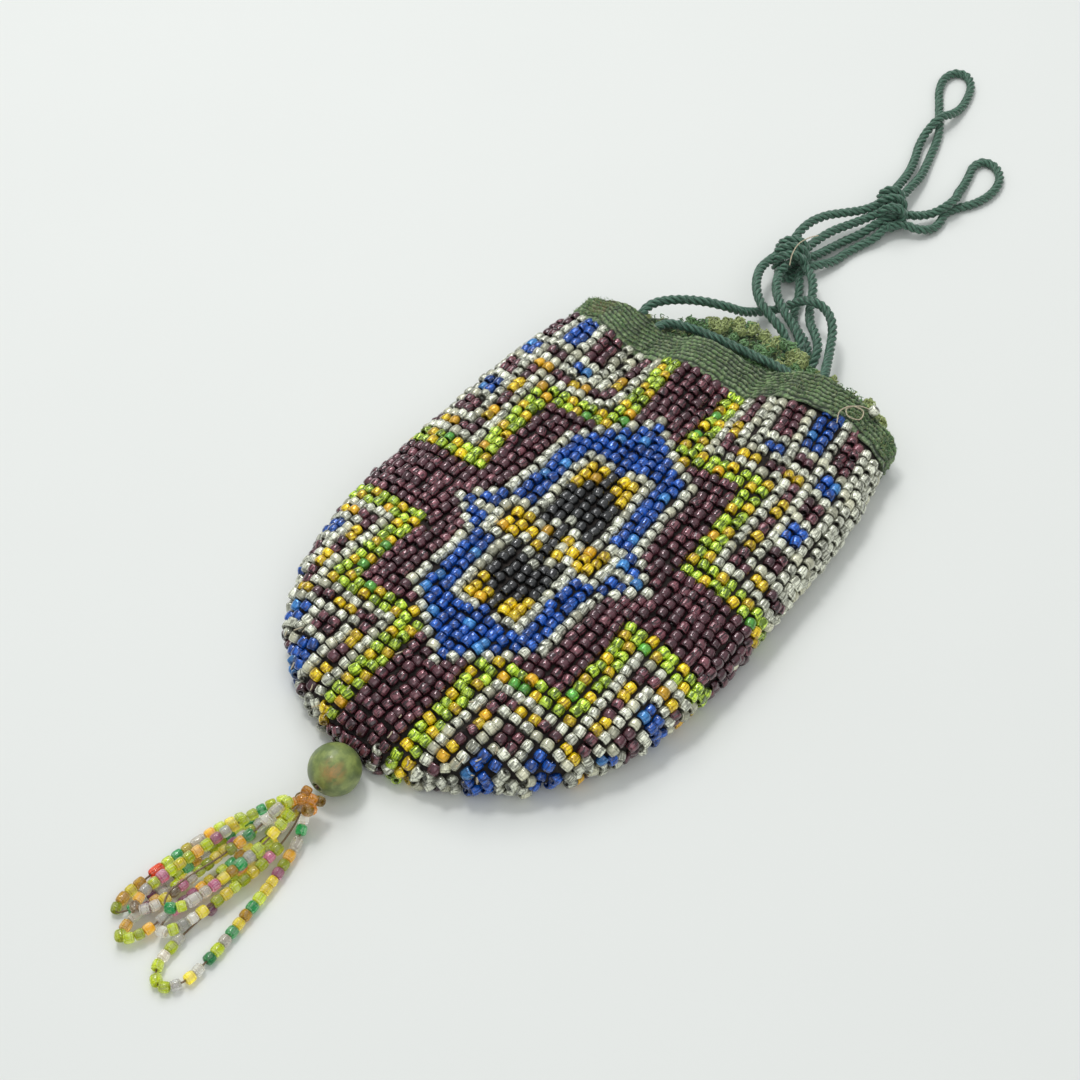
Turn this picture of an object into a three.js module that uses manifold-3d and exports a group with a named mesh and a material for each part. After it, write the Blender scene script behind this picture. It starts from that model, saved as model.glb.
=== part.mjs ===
// A beaded drawstring purse, lying on its back with its cords laid out beyond the mouth.
// Millimetres. +X runs across the front, +Y from the tassel to the mouth, +Z up.
// The origin is on the flat back, under the middle of the medallion.

import * as THREE from 'three';
import { mergeVertices } from 'three/addons/utils/BufferGeometryUtils.js';
import Module from 'manifold-3d';

// Driving sizes

const POUCH_WIDTH = 81;
const POUCH_LENGTH = 110;
const TIP_TO_MEDALLION = 52.6;
const POUCH_THICKNESS = 15;
const SIDE_FOLD_HEIGHT = 4.6;
const BEADED_WALL = 2.2;

const BAND_HEIGHT = 10;
const BAND_WALL = 1.8;
const BAND_STEP_IN = 0.4;
const BACK_BAND_LIFT = 1.6;
const FOLD_REACH = 28;

const GAP = 0.3;
const KNOT_CLEARANCE = 0.5;

const CORD_DIAMETER = 1.8;
const CORD_STEP = 3 * CORD_DIAMETER;
const CORD_SIDES = 8;

const BEAD_DIAMETER = 9.4;
const BEAD_BORE = 1.8;
const THREAD_DIAMETER = 1;
const TIP_LEAN = -3;

const TASSEL_LENGTH = 40.5;
const STRAND_DIAMETER = 2.2;
const TASSEL_HEAD_DIAMETER = 4.8;
const TASSEL_NECK_LENGTH = 10;
const TASSEL_NECK_WIDTH = 7.4;
const TASSEL_NECK_DEPTH = 5.8;
const TASSEL_NECK_SLOPE = 12;

// How round the front and how flat the back is: exponents of a superellipse
const FRONT_ROUND = 2.7;
const BACK_ROUND = 5;
const BACK_FLATNESS = 1.08;

const AROUND = 44;
const BAND_ROWS = 4;
const LATHE_SEGMENTS = 16;
const BEAD_RINGS = 12;
const KNOT_SEGMENTS = 16;
const KNOT_RINGS = 10;
const LOOP_STEPS = 14;
const ROUTE_SAMPLES = 2000;
const WELD_DISTANCE = 0.02;

// Outline of the pouch from its lower tip (0) to the seam with the band (1).
// half is a share of half the width, thick of the thickness, and lean of half the width.
const SECTIONS = [
  { along: 0, half: 0.11, thick: 0.36, lean: -0.075 },
  { along: 0.012, half: 0.265, thick: 0.45, lean: -0.075 },
  { along: 0.033, half: 0.42, thick: 0.56, lean: -0.075 },
  { along: 0.065, half: 0.56, thick: 0.67, lean: -0.07 },
  { along: 0.11, half: 0.7, thick: 0.78, lean: -0.06 },
  { along: 0.17, half: 0.815, thick: 0.87, lean: -0.04 },
  { along: 0.235, half: 0.9, thick: 0.935, lean: -0.032 },
  { along: 0.3, half: 0.953, thick: 0.97, lean: -0.028 },
  { along: 0.38, half: 0.987, thick: 0.99, lean: -0.025 },
  { along: 0.47, half: 1, thick: 1, lean: -0.025 },
  { along: 0.56, half: 1, thick: 1, lean: -0.025 },
  { along: 0.65, half: 0.993, thick: 0.985, lean: -0.024 },
  { along: 0.73, half: 0.99, thick: 0.965, lean: -0.023 },
  { along: 0.8, half: 0.984, thick: 0.94, lean: -0.026 },
  { along: 0.87, half: 0.97, thick: 0.91, lean: -0.03 },
  { along: 0.94, half: 0.942, thick: 0.875, lean: -0.033 },
  { along: 1, half: 0.908, thick: 0.85, lean: -0.034 },
];

// Seam and upper edge of the band, from the left side (-1) to the right side (1).
// seam is a share of the pouch's length, and tall of the band's height.
const FRONT_RIM = [
  { across: -1, seam: 0.982, tall: 0.55 },
  { across: -0.85, seam: 0.968, tall: 0.65 },
  { across: -0.6, seam: 0.95, tall: 0.92 },
  { across: -0.42, seam: 0.96, tall: 0.78 },
  { across: -0.2, seam: 0.971, tall: 0.8 },
  { across: 0, seam: 0.97, tall: 0.82 },
  { across: 0.16, seam: 0.98, tall: 0.86 },
  { across: 0.35, seam: 1.01, tall: 0.8 },
  { across: 0.52, seam: 1.024, tall: 0.75 },
  { across: 0.74, seam: 1.036, tall: 0.6 },
  { across: 0.9, seam: 1.027, tall: 0.55 },
  { across: 1, seam: 1.02, tall: 0.5 },
];
const BACK_RIM = [
  { across: -1, seam: 0.982, tall: 0.55 },
  { across: -0.8, seam: 1, tall: 0.82 },
  { across: -0.5, seam: 1.025, tall: 1.02 },
  { across: -0.2, seam: 1.04, tall: 1.4 },
  { across: 0.15, seam: 1.04, tall: 1.35 },
  { across: 0.4, seam: 1.04, tall: 1.12 },
  { across: 0.58, seam: 1.04, tall: 1.22 },
  { across: 0.8, seam: 1.03, tall: 0.98 },
  { across: 1, seam: 1.02, tall: 0.5 },
];

// Folds that run down from the mouth into the front. depth is a share of the thickness.
const FOLDS = [
  { across: -0.45, depth: 0.23, spread: 0.12 },
  { across: 0.17, depth: 0.19, spread: 0.11 },
  { across: 0.82, depth: 0.1, spread: 0.1 },
  { across: -0.75, depth: -0.05, spread: 0.14 },
];

// Shallow dents in the front. along is a share of the length, and depth of the thickness.
const DENTS = [
  { across: -0.62, along: 0.36, depth: 0.06, spread: 0.16 },
  { across: 0.66, along: 0.5, depth: 0.05, spread: 0.15 },
  { across: 0.35, along: 0.16, depth: 0.05, spread: 0.13 },
  { across: -0.35, along: 0.72, depth: 0.04, spread: 0.14 },
];

// Waves of the back band's upper edge. rise is a share of the band's lift.
const BACK_WAVES = [
  { across: -0.22, rise: 0.7, spread: 0.13 },
  { across: 0.1, rise: 0.35, spread: 0.09 },
  { across: 0.6, rise: 0.5, spread: 0.12 },
  { across: -0.7, rise: 0.5, spread: 0.12 },
];

// The knots: half sizes along, across and up, and the turn of the long axis from +Y towards -X.
const KNOTS = {
  lower_knot: { centre: [-12.4, 99.6, 4.4], half: [6.2, 4.3, 4.3], turn: 30, grooves: 5 },
  upper_knot: { centre: [-4.3, 127.2, 3.9], half: [6.6, 3.8, 3.8], turn: 36, grooves: 4 },
};

// Routes of the cords, chosen by hand. The two doubled cords run through both knots.
const ROUTES = {
  drawcord_mouth: [
    [-20.5, 61.4, 8.1], [-20.5, 63.6, 7.6], [-19, 65.9, 6.9], [-15.4, 67.5, 6.4],
    [-10.6, 68.4, 6.2], [-5.8, 68.8, 6.1], [-1.2, 69, 6.1], [3.4, 69, 6.4], [7.4, 68.6, 6.8],
    [11, 67.6, 7.6], [14.4, 66.4, 8.5],
  ],
  drawcord_left: [
    [-24.5, 61.4, 9.3], [-25, 63.8, 9.3], [-24.6, 66.4, 9.2], [-22.8, 69.2, 9],
    [-19.9, 71.8, 8.8], [-16.7, 74, 8.4], [-13.4, 76.2, 7.4], [-11.2, 78.8, 5.4],
    [-10.3, 81.8, 3.4], [-9, 84.6, 2.3], [-7, 86.8, 2.5], [-4.4, 88, 4.6], [-1.6, 88.2, 7],
    [0.7, 88, 8], [3.3, 87.8, 7.8], [5.6, 86.6, 7.2], [7.5, 84.4, 6.6], [9.1, 81.4, 6.1],
    [10.8, 77.8, 6.4], [12.7, 73.6, 7.4], [14.2, 70.2, 8.8], [14.8, 67.7, 9.6],
  ],
  drawcord_far: [
    [1.6, 75.75, 3.2], [1.2, 77.2, 4.2], [-0.8, 78.7, 5.7], [-4.4, 79.8, 6.8],
    [-8.4, 81.6, 7.5], [-11.4, 84.6, 7.4], [-13.6, 88.2, 6.8], [-15, 92, 6], [-15.2, 95.6, 5.4],
    [-14.8, 99.5, 5.2], [-14.6, 103.5, 5.4],
    [-14.9, 107.2, 5.8], [-14.6, 111, 5.8], [-13.3, 114.9, 5.5], [-11, 118.6, 5],
    [-8.6, 122, 4.7],
    [-7, 125.4, 4.7], [-6.4, 129.5, 4.6],
    [-6.9, 134, 4], [-7.6, 138.4, 3.1], [-8.6, 143, 2.2], [-10.2, 148, 1.4],
    [-12, 153, 1.2], [-12.7, 157.6, 2], [-12.2, 161.8, 3.3], [-11.3, 166, 2.2],
    [-11.3, 170.6, 1.1],
    [-12.2, 175.4, 1], [-13.9, 179.6, 1], [-16.6, 182, 1], [-19, 181.3, 1], [-20, 178.2, 1],
    [-18.8, 173.6, 1], [-16.2, 169, 1], [-13.6, 164.6, 1], [-11.2, 160.6, 1], [-9.6, 156.6, 1],
    [-8.3, 152.2, 1], [-7, 147.6, 1.2], [-5.8, 143, 1.8], [-5.2, 138.4, 2.6], [-4.8, 133.8, 3.3],
    [-4.6, 129.5, 3.9], [-5.4, 125, 4],
    [-7.1, 121, 3.7], [-8.7, 117.4, 3.7], [-10.4, 113.6, 3.7], [-11.4, 109.6, 3.7],
    [-11.7, 105.6, 3.9],
    [-11, 102, 4.4], [-9.3, 99.6, 4.8],
    [-6.2, 97.6, 5], [-3.6, 94.6, 5], [-1.8, 91.2, 4.6], [-0.2, 88.2, 4.2], [1.8, 85.4, 4.4],
    [4.4, 83, 4.8], [6.8, 80.2, 5], [8.1, 77.2, 4.4], [8.4, 74.8, 3],
  ],
  drawcord_near: [
    [4.6, 75.2, 2.9], [4.2, 77.6, 3.9], [2.4, 80, 4.9], [-0.6, 82, 5.4], [-3.6, 83.8, 5.7],
    [-6.4, 85.8, 5.8], [-8.8, 88.4, 5.6], [-10.6, 91.4, 5.1], [-11.7, 94.4, 4.6],
    [-12.2, 98, 4], [-10.9, 102, 3.3],
    [-9.7, 106, 2.4], [-8.9, 110.4, 1.7], [-7.6, 114.8, 1.6], [-5.9, 118.4, 2.1],
    [-4.6, 121.8, 3],
    [-3.2, 125, 3.6], [-1.6, 127.5, 3.4],
    [1, 130.2, 2.6], [3, 133.2, 2.3], [4.6, 136.2, 3.2], [5, 139.4, 3.3], [4, 142.6, 2.2],
    [3.2, 146.6, 1.1], [2.4, 150.4, 1],
    [1.6, 154.2, 1], [2.6, 156.8, 1], [5.2, 157, 1], [7.8, 154.8, 1], [9.2, 151, 1],
    [9.2, 147, 1], [8, 143, 1], [6, 139.6, 1], [4.7, 136.4, 1], [5.2, 133, 1],
    [5, 129.8, 1.2],
    [3.1, 127, 2],
    [0, 125.4, 2.8], [-2.4, 122.6, 2.6],
    [-3, 119.4, 1.8], [-4.4, 115.8, 1.2], [-5.6, 112, 1.1], [-6.2, 108, 1.3], [-7.6, 104, 2.2],
    [-9, 101, 2.9], [-9.2, 98.6, 2.7],
    [-7.4, 95.8, 2.1], [-5.6, 92.6, 1.6], [-4.4, 89.4, 1.3], [-2.6, 86.4, 1.3], [0.2, 84, 1.8],
    [3.2, 81.8, 2.3], [5.5, 79, 2.3], [6.3, 76.9, 1.8], [6.4, 75, 1.6],
  ],
};

// Loops of the tassel: aim in degrees from -Y towards -X, the rest as shares.
// reach follows the tassel's length; wide, bow (towards -X) and rise follow the strand.
const LOOPS = [
  { aim: 19, reach: 0.95, wide: 1.5, bow: 1.6, rise: 0 },
  { aim: 15, reach: 0.88, wide: 1.7, bow: 0.9, rise: 0.8 },
  { aim: 11, reach: 1, wide: 1.6, bow: 0.3, rise: 0.3 },
  { aim: 9, reach: 0.78, wide: 1.9, bow: -0.3, rise: 1.2 },
  { aim: 5, reach: 0.86, wide: 1.4, bow: -0.9, rise: 0.5 },
  { aim: -5, reach: 1.04, wide: 2.9, bow: -0.6, rise: 0 },
];
const LOOP_SHAPE = [
  { out: 0.14, aside: 0.5, bend: 0.6, height: 1.7 },
  { out: 0.34, aside: 0.7, bend: 1, height: 1.3 },
  { out: 0.58, aside: 0.85, bend: 0.8, height: 1.05 },
  { out: 0.81, aside: 1, bend: 0.35, height: 1.01 },
  { out: 0.94, aside: 0.8, bend: 0.1, height: 1.01 },
];

// Places worked out from the sizes

const HALF_WIDTH = POUCH_WIDTH / 2;
const TIP_Y = -TIP_TO_MEDALLION;
const CORD_RADIUS = CORD_DIAMETER / 2;
const STRAND_RADIUS = STRAND_DIAMETER / 2;
const BEAD_RADIUS = BEAD_DIAMETER / 2;
const BORE_RADIUS = BEAD_BORE / 2;
const BORE_HALF_LENGTH = Math.sqrt(BEAD_RADIUS ** 2 - BORE_RADIUS ** 2);
const BEAD_Y = TIP_Y - GAP - BORE_HALF_LENGTH;
const HEAD_RADIUS = TASSEL_HEAD_DIAMETER / 2;
const HEAD_Y = BEAD_Y - BORE_HALF_LENGTH - GAP - HEAD_RADIUS;

const wasm = await Module();
wasm.setup();

// Helpers

function smoothStep(share) {
  return share * share * (3 - 2 * share);
}

// A column's value between the rows of a table, where the column key has the value at
function between(table, key, at, column) {
  const last = table.length - 1;
  const place = THREE.MathUtils.clamp(at, table[0][key], table[last][key]);
  const next = Math.max(1, table.findIndex((row) => row[key] >= place));
  const low = table[next - 1];
  const high = table[next];
  const share = smoothStep((place - low[key]) / (high[key] - low[key]));
  return THREE.MathUtils.lerp(low[column], high[column], share);
}

function bump(offset, spread) {
  return Math.exp(-0.5 * (offset / spread) ** 2);
}

function material(colour, roughness, metalness = 0) {
  return new THREE.MeshStandardMaterial({ color: colour, roughness, metalness });
}

function named(name, geometry, finish) {
  const mesh = new THREE.Mesh(geometry, finish);
  mesh.name = name;
  return mesh;
}

function bare(geometry) {
  geometry.deleteAttribute('normal');
  geometry.deleteAttribute('uv');
  return mergeVertices(geometry, 1e-4);
}

function toSolid(geometry) {
  const plain = bare(geometry);
  return new wasm.Manifold(new wasm.Mesh({
    numProp: 3,
    vertProperties: new Float32Array(plain.attributes.position.array),
    triVerts: new Uint32Array(plain.index.array),
  }));
}

function toGeometry(solid) {
  const mesh = solid.getMesh();
  const geometry = new THREE.BufferGeometry();
  geometry.setAttribute('position', new THREE.BufferAttribute(mesh.vertProperties, 3));
  geometry.setIndex(new THREE.BufferAttribute(mesh.triVerts, 1));
  geometry.computeVertexNormals();
  return geometry;
}

// Closes up the slivers that crossing surfaces leave: corners nearly in one place become one
function welded(geometry) {
  geometry.deleteAttribute('normal');
  const plain = mergeVertices(geometry, WELD_DISTANCE);
  const corners = plain.index.array;
  const kept = [];
  for (let i = 0; i < corners.length; i += 3) {
    const [a, b, c] = corners.slice(i, i + 3);
    if (a !== b && b !== c && c !== a) kept.push(a, b, c);
  }
  plain.setIndex(kept);
  plain.computeVertexNormals();
  return plain;
}

// The purse's cross section

// A point of a section at a turn of 0 (right side), a quarter (front) or three quarters (back)
function sectionPoint(section, turn) {
  const c = Math.cos(turn);
  const s = Math.sin(turn);
  const front = s > -1e-9;
  const power = 2 / (front ? FRONT_ROUND : BACK_ROUND);
  const across = Math.sign(c) * Math.abs(c) ** power;
  const up = Math.abs(s) ** power;
  const x = section.centre + section.half * across;
  const z = front
    ? section.side + (section.top - section.side) * up
    : section.side - (section.side - section.base) * Math.min(1, BACK_FLATNESS * up);
  return { x, z, across, front, up };
}

function rimOf(point) {
  return point.front ? FRONT_RIM : BACK_RIM;
}

function seamY(point) {
  return TIP_Y + POUCH_LENGTH * between(rimOf(point), 'across', point.across, 'seam');
}

function bandTopY(point) {
  const tall = between(rimOf(point), 'across', point.across, 'tall');
  return seamY(point) + BAND_HEIGHT * tall;
}

// How far the front sinks in its folds and dents
function sink(point, y) {
  if (!point.front) return 0;
  const near = THREE.MathUtils.clamp(1 - (seamY(point) - y) / FOLD_REACH, 0, 1);
  let depth = 0;
  for (const fold of FOLDS) {
    depth += fold.depth * bump(point.across - fold.across, fold.spread) * smoothStep(near);
  }
  const along = (y - TIP_Y) / POUCH_LENGTH;
  for (const dent of DENTS) {
    const off = Math.hypot(point.across - dent.across, 2 * (along - dent.along));
    depth += dent.depth * bump(off, dent.spread);
  }
  return POUCH_THICKNESS * depth * point.up;
}

function pouchSection(along, inset) {
  const half = HALF_WIDTH * between(SECTIONS, 'along', along, 'half');
  const top = POUCH_THICKNESS * between(SECTIONS, 'along', along, 'thick');
  return {
    centre: HALF_WIDTH * between(SECTIONS, 'along', along, 'lean'),
    half: half - inset,
    base: inset,
    side: Math.min(SIDE_FOLD_HEIGHT, top / 2),
    top: top - inset,
  };
}

// Joins rings of points into a skin, with caps or rims where asked

function ringOf(section, yOf, sunk) {
  const ring = [];
  for (let i = 0; i < AROUND; i += 1) {
    const point = sectionPoint(section, (2 * Math.PI * i) / AROUND);
    const y = yOf(point);
    ring.push([point.x, y, point.z + sunk(point, y)]);
  }
  return ring;
}

function middleOf(ring) {
  const sum = ring.reduce((a, p) => [a[0] + p[0], a[1] + p[1], a[2] + p[2]], [0, 0, 0]);
  return sum.map((value) => value / ring.length);
}

// Rings follow one another over the whole skin, from the first cap or rim to the last
function skin(rings, capped) {
  const positions = rings.flat(2);
  const index = [];
  const rows = rings.length;
  const bands = capped ? rows - 1 : rows;
  for (let r = 0; r < bands; r += 1) {
    const lower = r * AROUND;
    const upper = ((r + 1) % rows) * AROUND;
    for (let i = 0; i < AROUND; i += 1) {
      const j = (i + 1) % AROUND;
      index.push(lower + i, upper + j, lower + j, lower + i, upper + i, upper + j);
    }
  }
  if (capped) {
    const first = rows * AROUND;
    positions.push(...middleOf(rings[0]), ...middleOf(rings[rows - 1]));
    const end = (rows - 1) * AROUND;
    for (let i = 0; i < AROUND; i += 1) {
      const j = (i + 1) % AROUND;
      index.push(first, i, j);
      index.push(first + 1, end + j, end + i);
    }
  }
  const geometry = new THREE.BufferGeometry();
  geometry.setAttribute('position', new THREE.Float32BufferAttribute(positions, 3));
  geometry.setIndex(index);
  geometry.computeVertexNormals();
  return geometry;
}

// Pouch

function pouch() {
  const ringAt = (along, inset) => ringOf(
    pouchSection(along, inset),
    (point) => THREE.MathUtils.lerp(TIP_Y + inset, seamY(point), along),
    (point, y) => -sink(point, y),
  );
  const alongs = SECTIONS.map((row) => row.along);
  const outside = alongs.map((along) => ringAt(along, 0));
  const inside = alongs.map((along) => ringAt(along, BEADED_WALL));
  return skin([...outside, ...inside.reverse()], true);
}

// Band

function bandRing(share, inset) {
  const seam = pouchSection(1, BAND_STEP_IN);
  const rise = BACK_BAND_LIFT * share * share;
  const section = {
    centre: seam.centre,
    half: seam.half - inset,
    base: inset,
    side: seam.side,
    top: seam.top - inset,
  };
  const yOf = (point) => THREE.MathUtils.lerp(seamY(point) + GAP, bandTopY(point), share);
  const lift = (point, y) => {
    if (point.front) return -sink(point, y);
    let wave = 1;
    for (const row of BACK_WAVES) {
      wave += row.rise * bump(point.across - row.across, row.spread);
    }
    return rise * wave * point.up;
  };
  return ringOf(section, yOf, lift);
}

function band() {
  const shares = Array.from({ length: BAND_ROWS + 1 }, (_, row) => row / BAND_ROWS);
  const outside = shares.map((share) => bandRing(share, 0));
  const inside = shares.map((share) => bandRing(share, BAND_WALL));
  return skin([...outside, ...inside.reverse()], false);
}

// Wooden bead, its thread and the tassel

function woodenBead() {
  const start = Math.asin(BORE_RADIUS / BEAD_RADIUS);
  const profile = [];
  for (let i = 0; i <= BEAD_RINGS; i += 1) {
    const angle = THREE.MathUtils.lerp(Math.PI - start, start, i / BEAD_RINGS);
    profile.push(new THREE.Vector2(BEAD_RADIUS * Math.sin(angle), BEAD_RADIUS * Math.cos(angle)));
  }
  profile.push(new THREE.Vector2(BORE_RADIUS, -BORE_HALF_LENGTH));
  const geometry = new THREE.LatheGeometry(profile, LATHE_SEGMENTS);
  geometry.translate(TIP_LEAN, BEAD_Y, BEAD_RADIUS);
  return geometry;
}

function tasselThread() {
  const top = TIP_Y - GAP;
  const foot = HEAD_Y + HEAD_RADIUS + GAP;
  const geometry = new THREE.CylinderGeometry(
    THREAD_DIAMETER / 2, THREAD_DIAMETER / 2, top - foot, CORD_SIDES,
  );
  geometry.translate(TIP_LEAN, (top + foot) / 2, BEAD_RADIUS);
  return geometry;
}

// A tube of a given radius along a curve
function tube(curve, radius, steps) {
  const shape = new THREE.Shape();
  for (let i = 0; i < CORD_SIDES; i += 1) {
    const angle = (2 * Math.PI * i) / CORD_SIDES;
    const place = [radius * Math.cos(angle), radius * Math.sin(angle)];
    if (i === 0) shape.moveTo(...place);
    else shape.lineTo(...place);
  }
  return new THREE.ExtrudeGeometry(shape, { steps, extrudePath: curve, bevelEnabled: false });
}

// One bead loop: out along one side, round its end and back along the other
function tasselLoop(loop) {
  const length = (TASSEL_LENGTH - HEAD_RADIUS) * loop.reach;
  const turn = THREE.MathUtils.degToRad(loop.aim);
  const forward = new THREE.Vector3(-Math.sin(turn), -Math.cos(turn), 0);
  const sideways = new THREE.Vector3(forward.y, -forward.x, 0);
  const root = new THREE.Vector3(TIP_LEAN, HEAD_Y, BEAD_RADIUS);
  const floor = STRAND_RADIUS + loop.rise * STRAND_DIAMETER;
  const place = (row, side) => {
    const aside = (side * row.aside * loop.wide) / 2 + row.bend * loop.bow;
    const point = root.clone();
    point.addScaledVector(forward, row.out * length);
    point.addScaledVector(sideways, aside * STRAND_DIAMETER);
    point.z = floor * row.height;
    return point;
  };
  const end = place({ out: 1, aside: 0, bend: 0, height: 1 }, 0);
  const out = LOOP_SHAPE.map((row) => place(row, 1));
  const back = LOOP_SHAPE.map((row) => place(row, -1)).reverse();
  const path = new THREE.CatmullRomCurve3([root, ...out, end, ...back, root]);
  return tube(path, STRAND_RADIUS, LOOP_STEPS);
}

// The bundle under the head, where all the strands run together and slope down to the floor
function tasselNeck() {
  const length = TASSEL_NECK_LENGTH;
  const geometry = new THREE.SphereGeometry(0.5, LATHE_SEGMENTS, KNOT_RINGS);
  geometry.scale(TASSEL_NECK_WIDTH, length, TASSEL_NECK_DEPTH);
  geometry.translate(0, HEAD_RADIUS - length / 2, 0);
  geometry.rotateX(THREE.MathUtils.degToRad(TASSEL_NECK_SLOPE));
  geometry.rotateZ(THREE.MathUtils.degToRad(-LOOPS[2].aim));
  geometry.translate(TIP_LEAN, HEAD_Y, BEAD_RADIUS);
  return geometry;
}

function tassel() {
  const head = new THREE.SphereGeometry(HEAD_RADIUS, LATHE_SEGMENTS, KNOT_RINGS);
  head.translate(TIP_LEAN, HEAD_Y, BEAD_RADIUS);
  let solid = toSolid(head).add(toSolid(tasselNeck()));
  for (const loop of LOOPS) {
    solid = solid.add(toSolid(tasselLoop(loop)));
  }
  // Small pockets sealed in between crossing strands are filled: only the outer skin stays
  const skins = solid.decompose().sort((a, b) => b.volume() - a.volume());
  return welded(toGeometry(skins[0]));
}

// Knots: a wrapped lump, longer than wide, with grooves between its wraps

function knotAxis(knot) {
  const turn = THREE.MathUtils.degToRad(knot.turn);
  return new THREE.Vector3(-Math.sin(turn), Math.cos(turn), 0);
}

function knotLump(knot) {
  const [along, across, up] = knot.half;
  const geometry = bare(new THREE.SphereGeometry(1, KNOT_SEGMENTS, KNOT_RINGS));
  const position = geometry.attributes.position;
  const point = new THREE.Vector3();
  for (let i = 0; i < position.count; i += 1) {
    point.fromBufferAttribute(position, i);
    const wrap = 1 - 0.07 * (1 + Math.cos(knot.grooves * Math.PI * (point.y + 0.4 * point.x)));
    point.set(across * point.x * wrap, along * point.y, up * point.z * wrap);
    position.setXYZ(i, point.x, point.y, point.z);
  }
  geometry.rotateZ(THREE.MathUtils.degToRad(knot.turn));
  geometry.translate(...knot.centre);
  geometry.computeVertexNormals();
  return geometry;
}

// Whether a point lies in a knot grown by a margin
function knotHolds(knot, point, margin) {
  const offset = point.clone().sub(new THREE.Vector3(...knot.centre));
  const axis = knotAxis(knot);
  const along = offset.dot(axis);
  const across = offset.x * axis.y - offset.y * axis.x;
  const [a, b, c] = knot.half.map((half) => half + margin);
  return (along / a) ** 2 + (across / b) ** 2 + (offset.z / c) ** 2 < 1;
}

// Cords

class Stretch extends THREE.Curve {
  constructor(path, from, to) {
    super();
    this.path = path;
    this.from = from;
    this.to = to;
  }

  getPoint(share, target = new THREE.Vector3()) {
    return this.path.getPointAt(THREE.MathUtils.lerp(this.from, this.to, share), target);
  }
}

// The stretches of a route that lie outside both knots
function stretchesOf(route) {
  const path = new THREE.CatmullRomCurve3(route.map((p) => new THREE.Vector3(...p)));
  path.arcLengthDivisions = ROUTE_SAMPLES;
  const knots = Object.values(KNOTS);
  const stretches = [];
  let from = null;
  for (let i = 0; i <= ROUTE_SAMPLES; i += 1) {
    const at = i / ROUTE_SAMPLES;
    const point = path.getPointAt(at);
    const held = knots.some((knot) => knotHolds(knot, point, KNOT_CLEARANCE));
    if (!held && from === null) from = at;
    if (from !== null && (held || i === ROUTE_SAMPLES)) {
      stretches.push(new Stretch(path, from, held ? at - 1 / ROUTE_SAMPLES : 1));
      from = null;
    }
  }
  return stretches;
}

function cordNodes(name, route, finish) {
  const stretches = stretchesOf(route);
  return stretches.map((stretch, i) => {
    const steps = Math.max(3, Math.round(stretch.getLength() / CORD_STEP));
    const label = stretches.length > 1 ? `${name}_${i + 1}` : name;
    return named(label, tube(stretch, CORD_RADIUS, steps), finish);
  });
}

// The whole purse

const beads = material(0x5a3b45, 0.35);
const cloth = material(0x5d7350, 0.95);
const cord = material(0x1f4637, 0.8);
const wood = material(0x7d8c56, 0.55);
const thread = material(0x5a4a36, 0.9);
const strands = material(0xb5ab45, 0.3);

const purse = new THREE.Group();
purse.add(named('beaded_bag', pouch(), beads));
purse.add(named('mouth_band', band(), cloth));
purse.add(named('wooden_bead', woodenBead(), wood));
purse.add(named('tassel_thread', tasselThread(), thread));
purse.add(named('tassel', tassel(), strands));
for (const [name, knot] of Object.entries(KNOTS)) {
  purse.add(named(name, knotLump(knot), cord));
}
for (const [name, route] of Object.entries(ROUTES)) {
  purse.add(...cordNodes(name, route, cord));
}

export default purse;
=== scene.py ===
import math
from typing import NamedTuple

import bpy
import numpy as np
from bpy.props import FloatProperty, FloatVectorProperty, IntProperty, PointerProperty
from bpy.types import Operator, Panel, PropertyGroup
from mathutils import Euler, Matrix
from mathutils.kdtree import KDTree


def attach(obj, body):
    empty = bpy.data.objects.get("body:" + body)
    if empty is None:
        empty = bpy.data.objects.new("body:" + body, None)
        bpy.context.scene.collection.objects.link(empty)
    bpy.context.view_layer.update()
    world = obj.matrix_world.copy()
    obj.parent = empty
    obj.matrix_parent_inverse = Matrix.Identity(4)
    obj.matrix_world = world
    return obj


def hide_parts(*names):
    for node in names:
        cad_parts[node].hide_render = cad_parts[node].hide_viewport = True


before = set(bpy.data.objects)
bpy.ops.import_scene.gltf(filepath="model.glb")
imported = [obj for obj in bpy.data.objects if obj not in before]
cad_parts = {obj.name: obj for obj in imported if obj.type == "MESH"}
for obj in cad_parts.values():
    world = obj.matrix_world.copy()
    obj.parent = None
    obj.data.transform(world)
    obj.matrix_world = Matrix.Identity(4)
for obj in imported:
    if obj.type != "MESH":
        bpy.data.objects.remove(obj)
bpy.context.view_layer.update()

bl_info = {
    "name": "Beaded Drawstring Purse",
    "version": (1, 0, 0),
    "blender": (4, 5, 0),
    "location": "View3D > Sidebar > Purse",
    "description": "Builds a small beaded purse with its cords, wooden bead and tassel",
    "category": "Add Mesh",
}

# The purse lies on its back. Metres: +X across the front, +Y towards the mouth, +Z up.
# The origin is on the floor, under the middle of the medallion.

SEED = 1924


def tenths(*points):
    """Points that are given in tenths of a millimetre."""
    return [tuple(value / 10000 for value in point) for point in points]


# The pouch as the solids have it

POUCH_WIDTH = 0.081
POUCH_LENGTH = 0.110
TIP_Y = -0.0526
POUCH_THICKNESS = 0.015
SIDE_FOLD_HEIGHT = 0.0046
FRONT_ROUND = 2.7
BACK_ROUND = 5
BACK_FLATNESS = 1.08
FOLD_REACH = 0.028
BAND_HEIGHT = 0.010
BAND_STEP_IN = 0.0004
BACK_BAND_LIFT = 0.0016
SEAM_GAP = 0.0003
TIP_LEAN = -0.003
WOODEN_BEAD_RADIUS = 0.0047
WOODEN_BEAD_BORE = 0.0009
WOODEN_BEAD_Y = -0.0575
TASSEL_LENGTH = 0.0405
TASSEL_HEAD_RADIUS = 0.0024
STRAND_WIDTH = 0.0022

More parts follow.
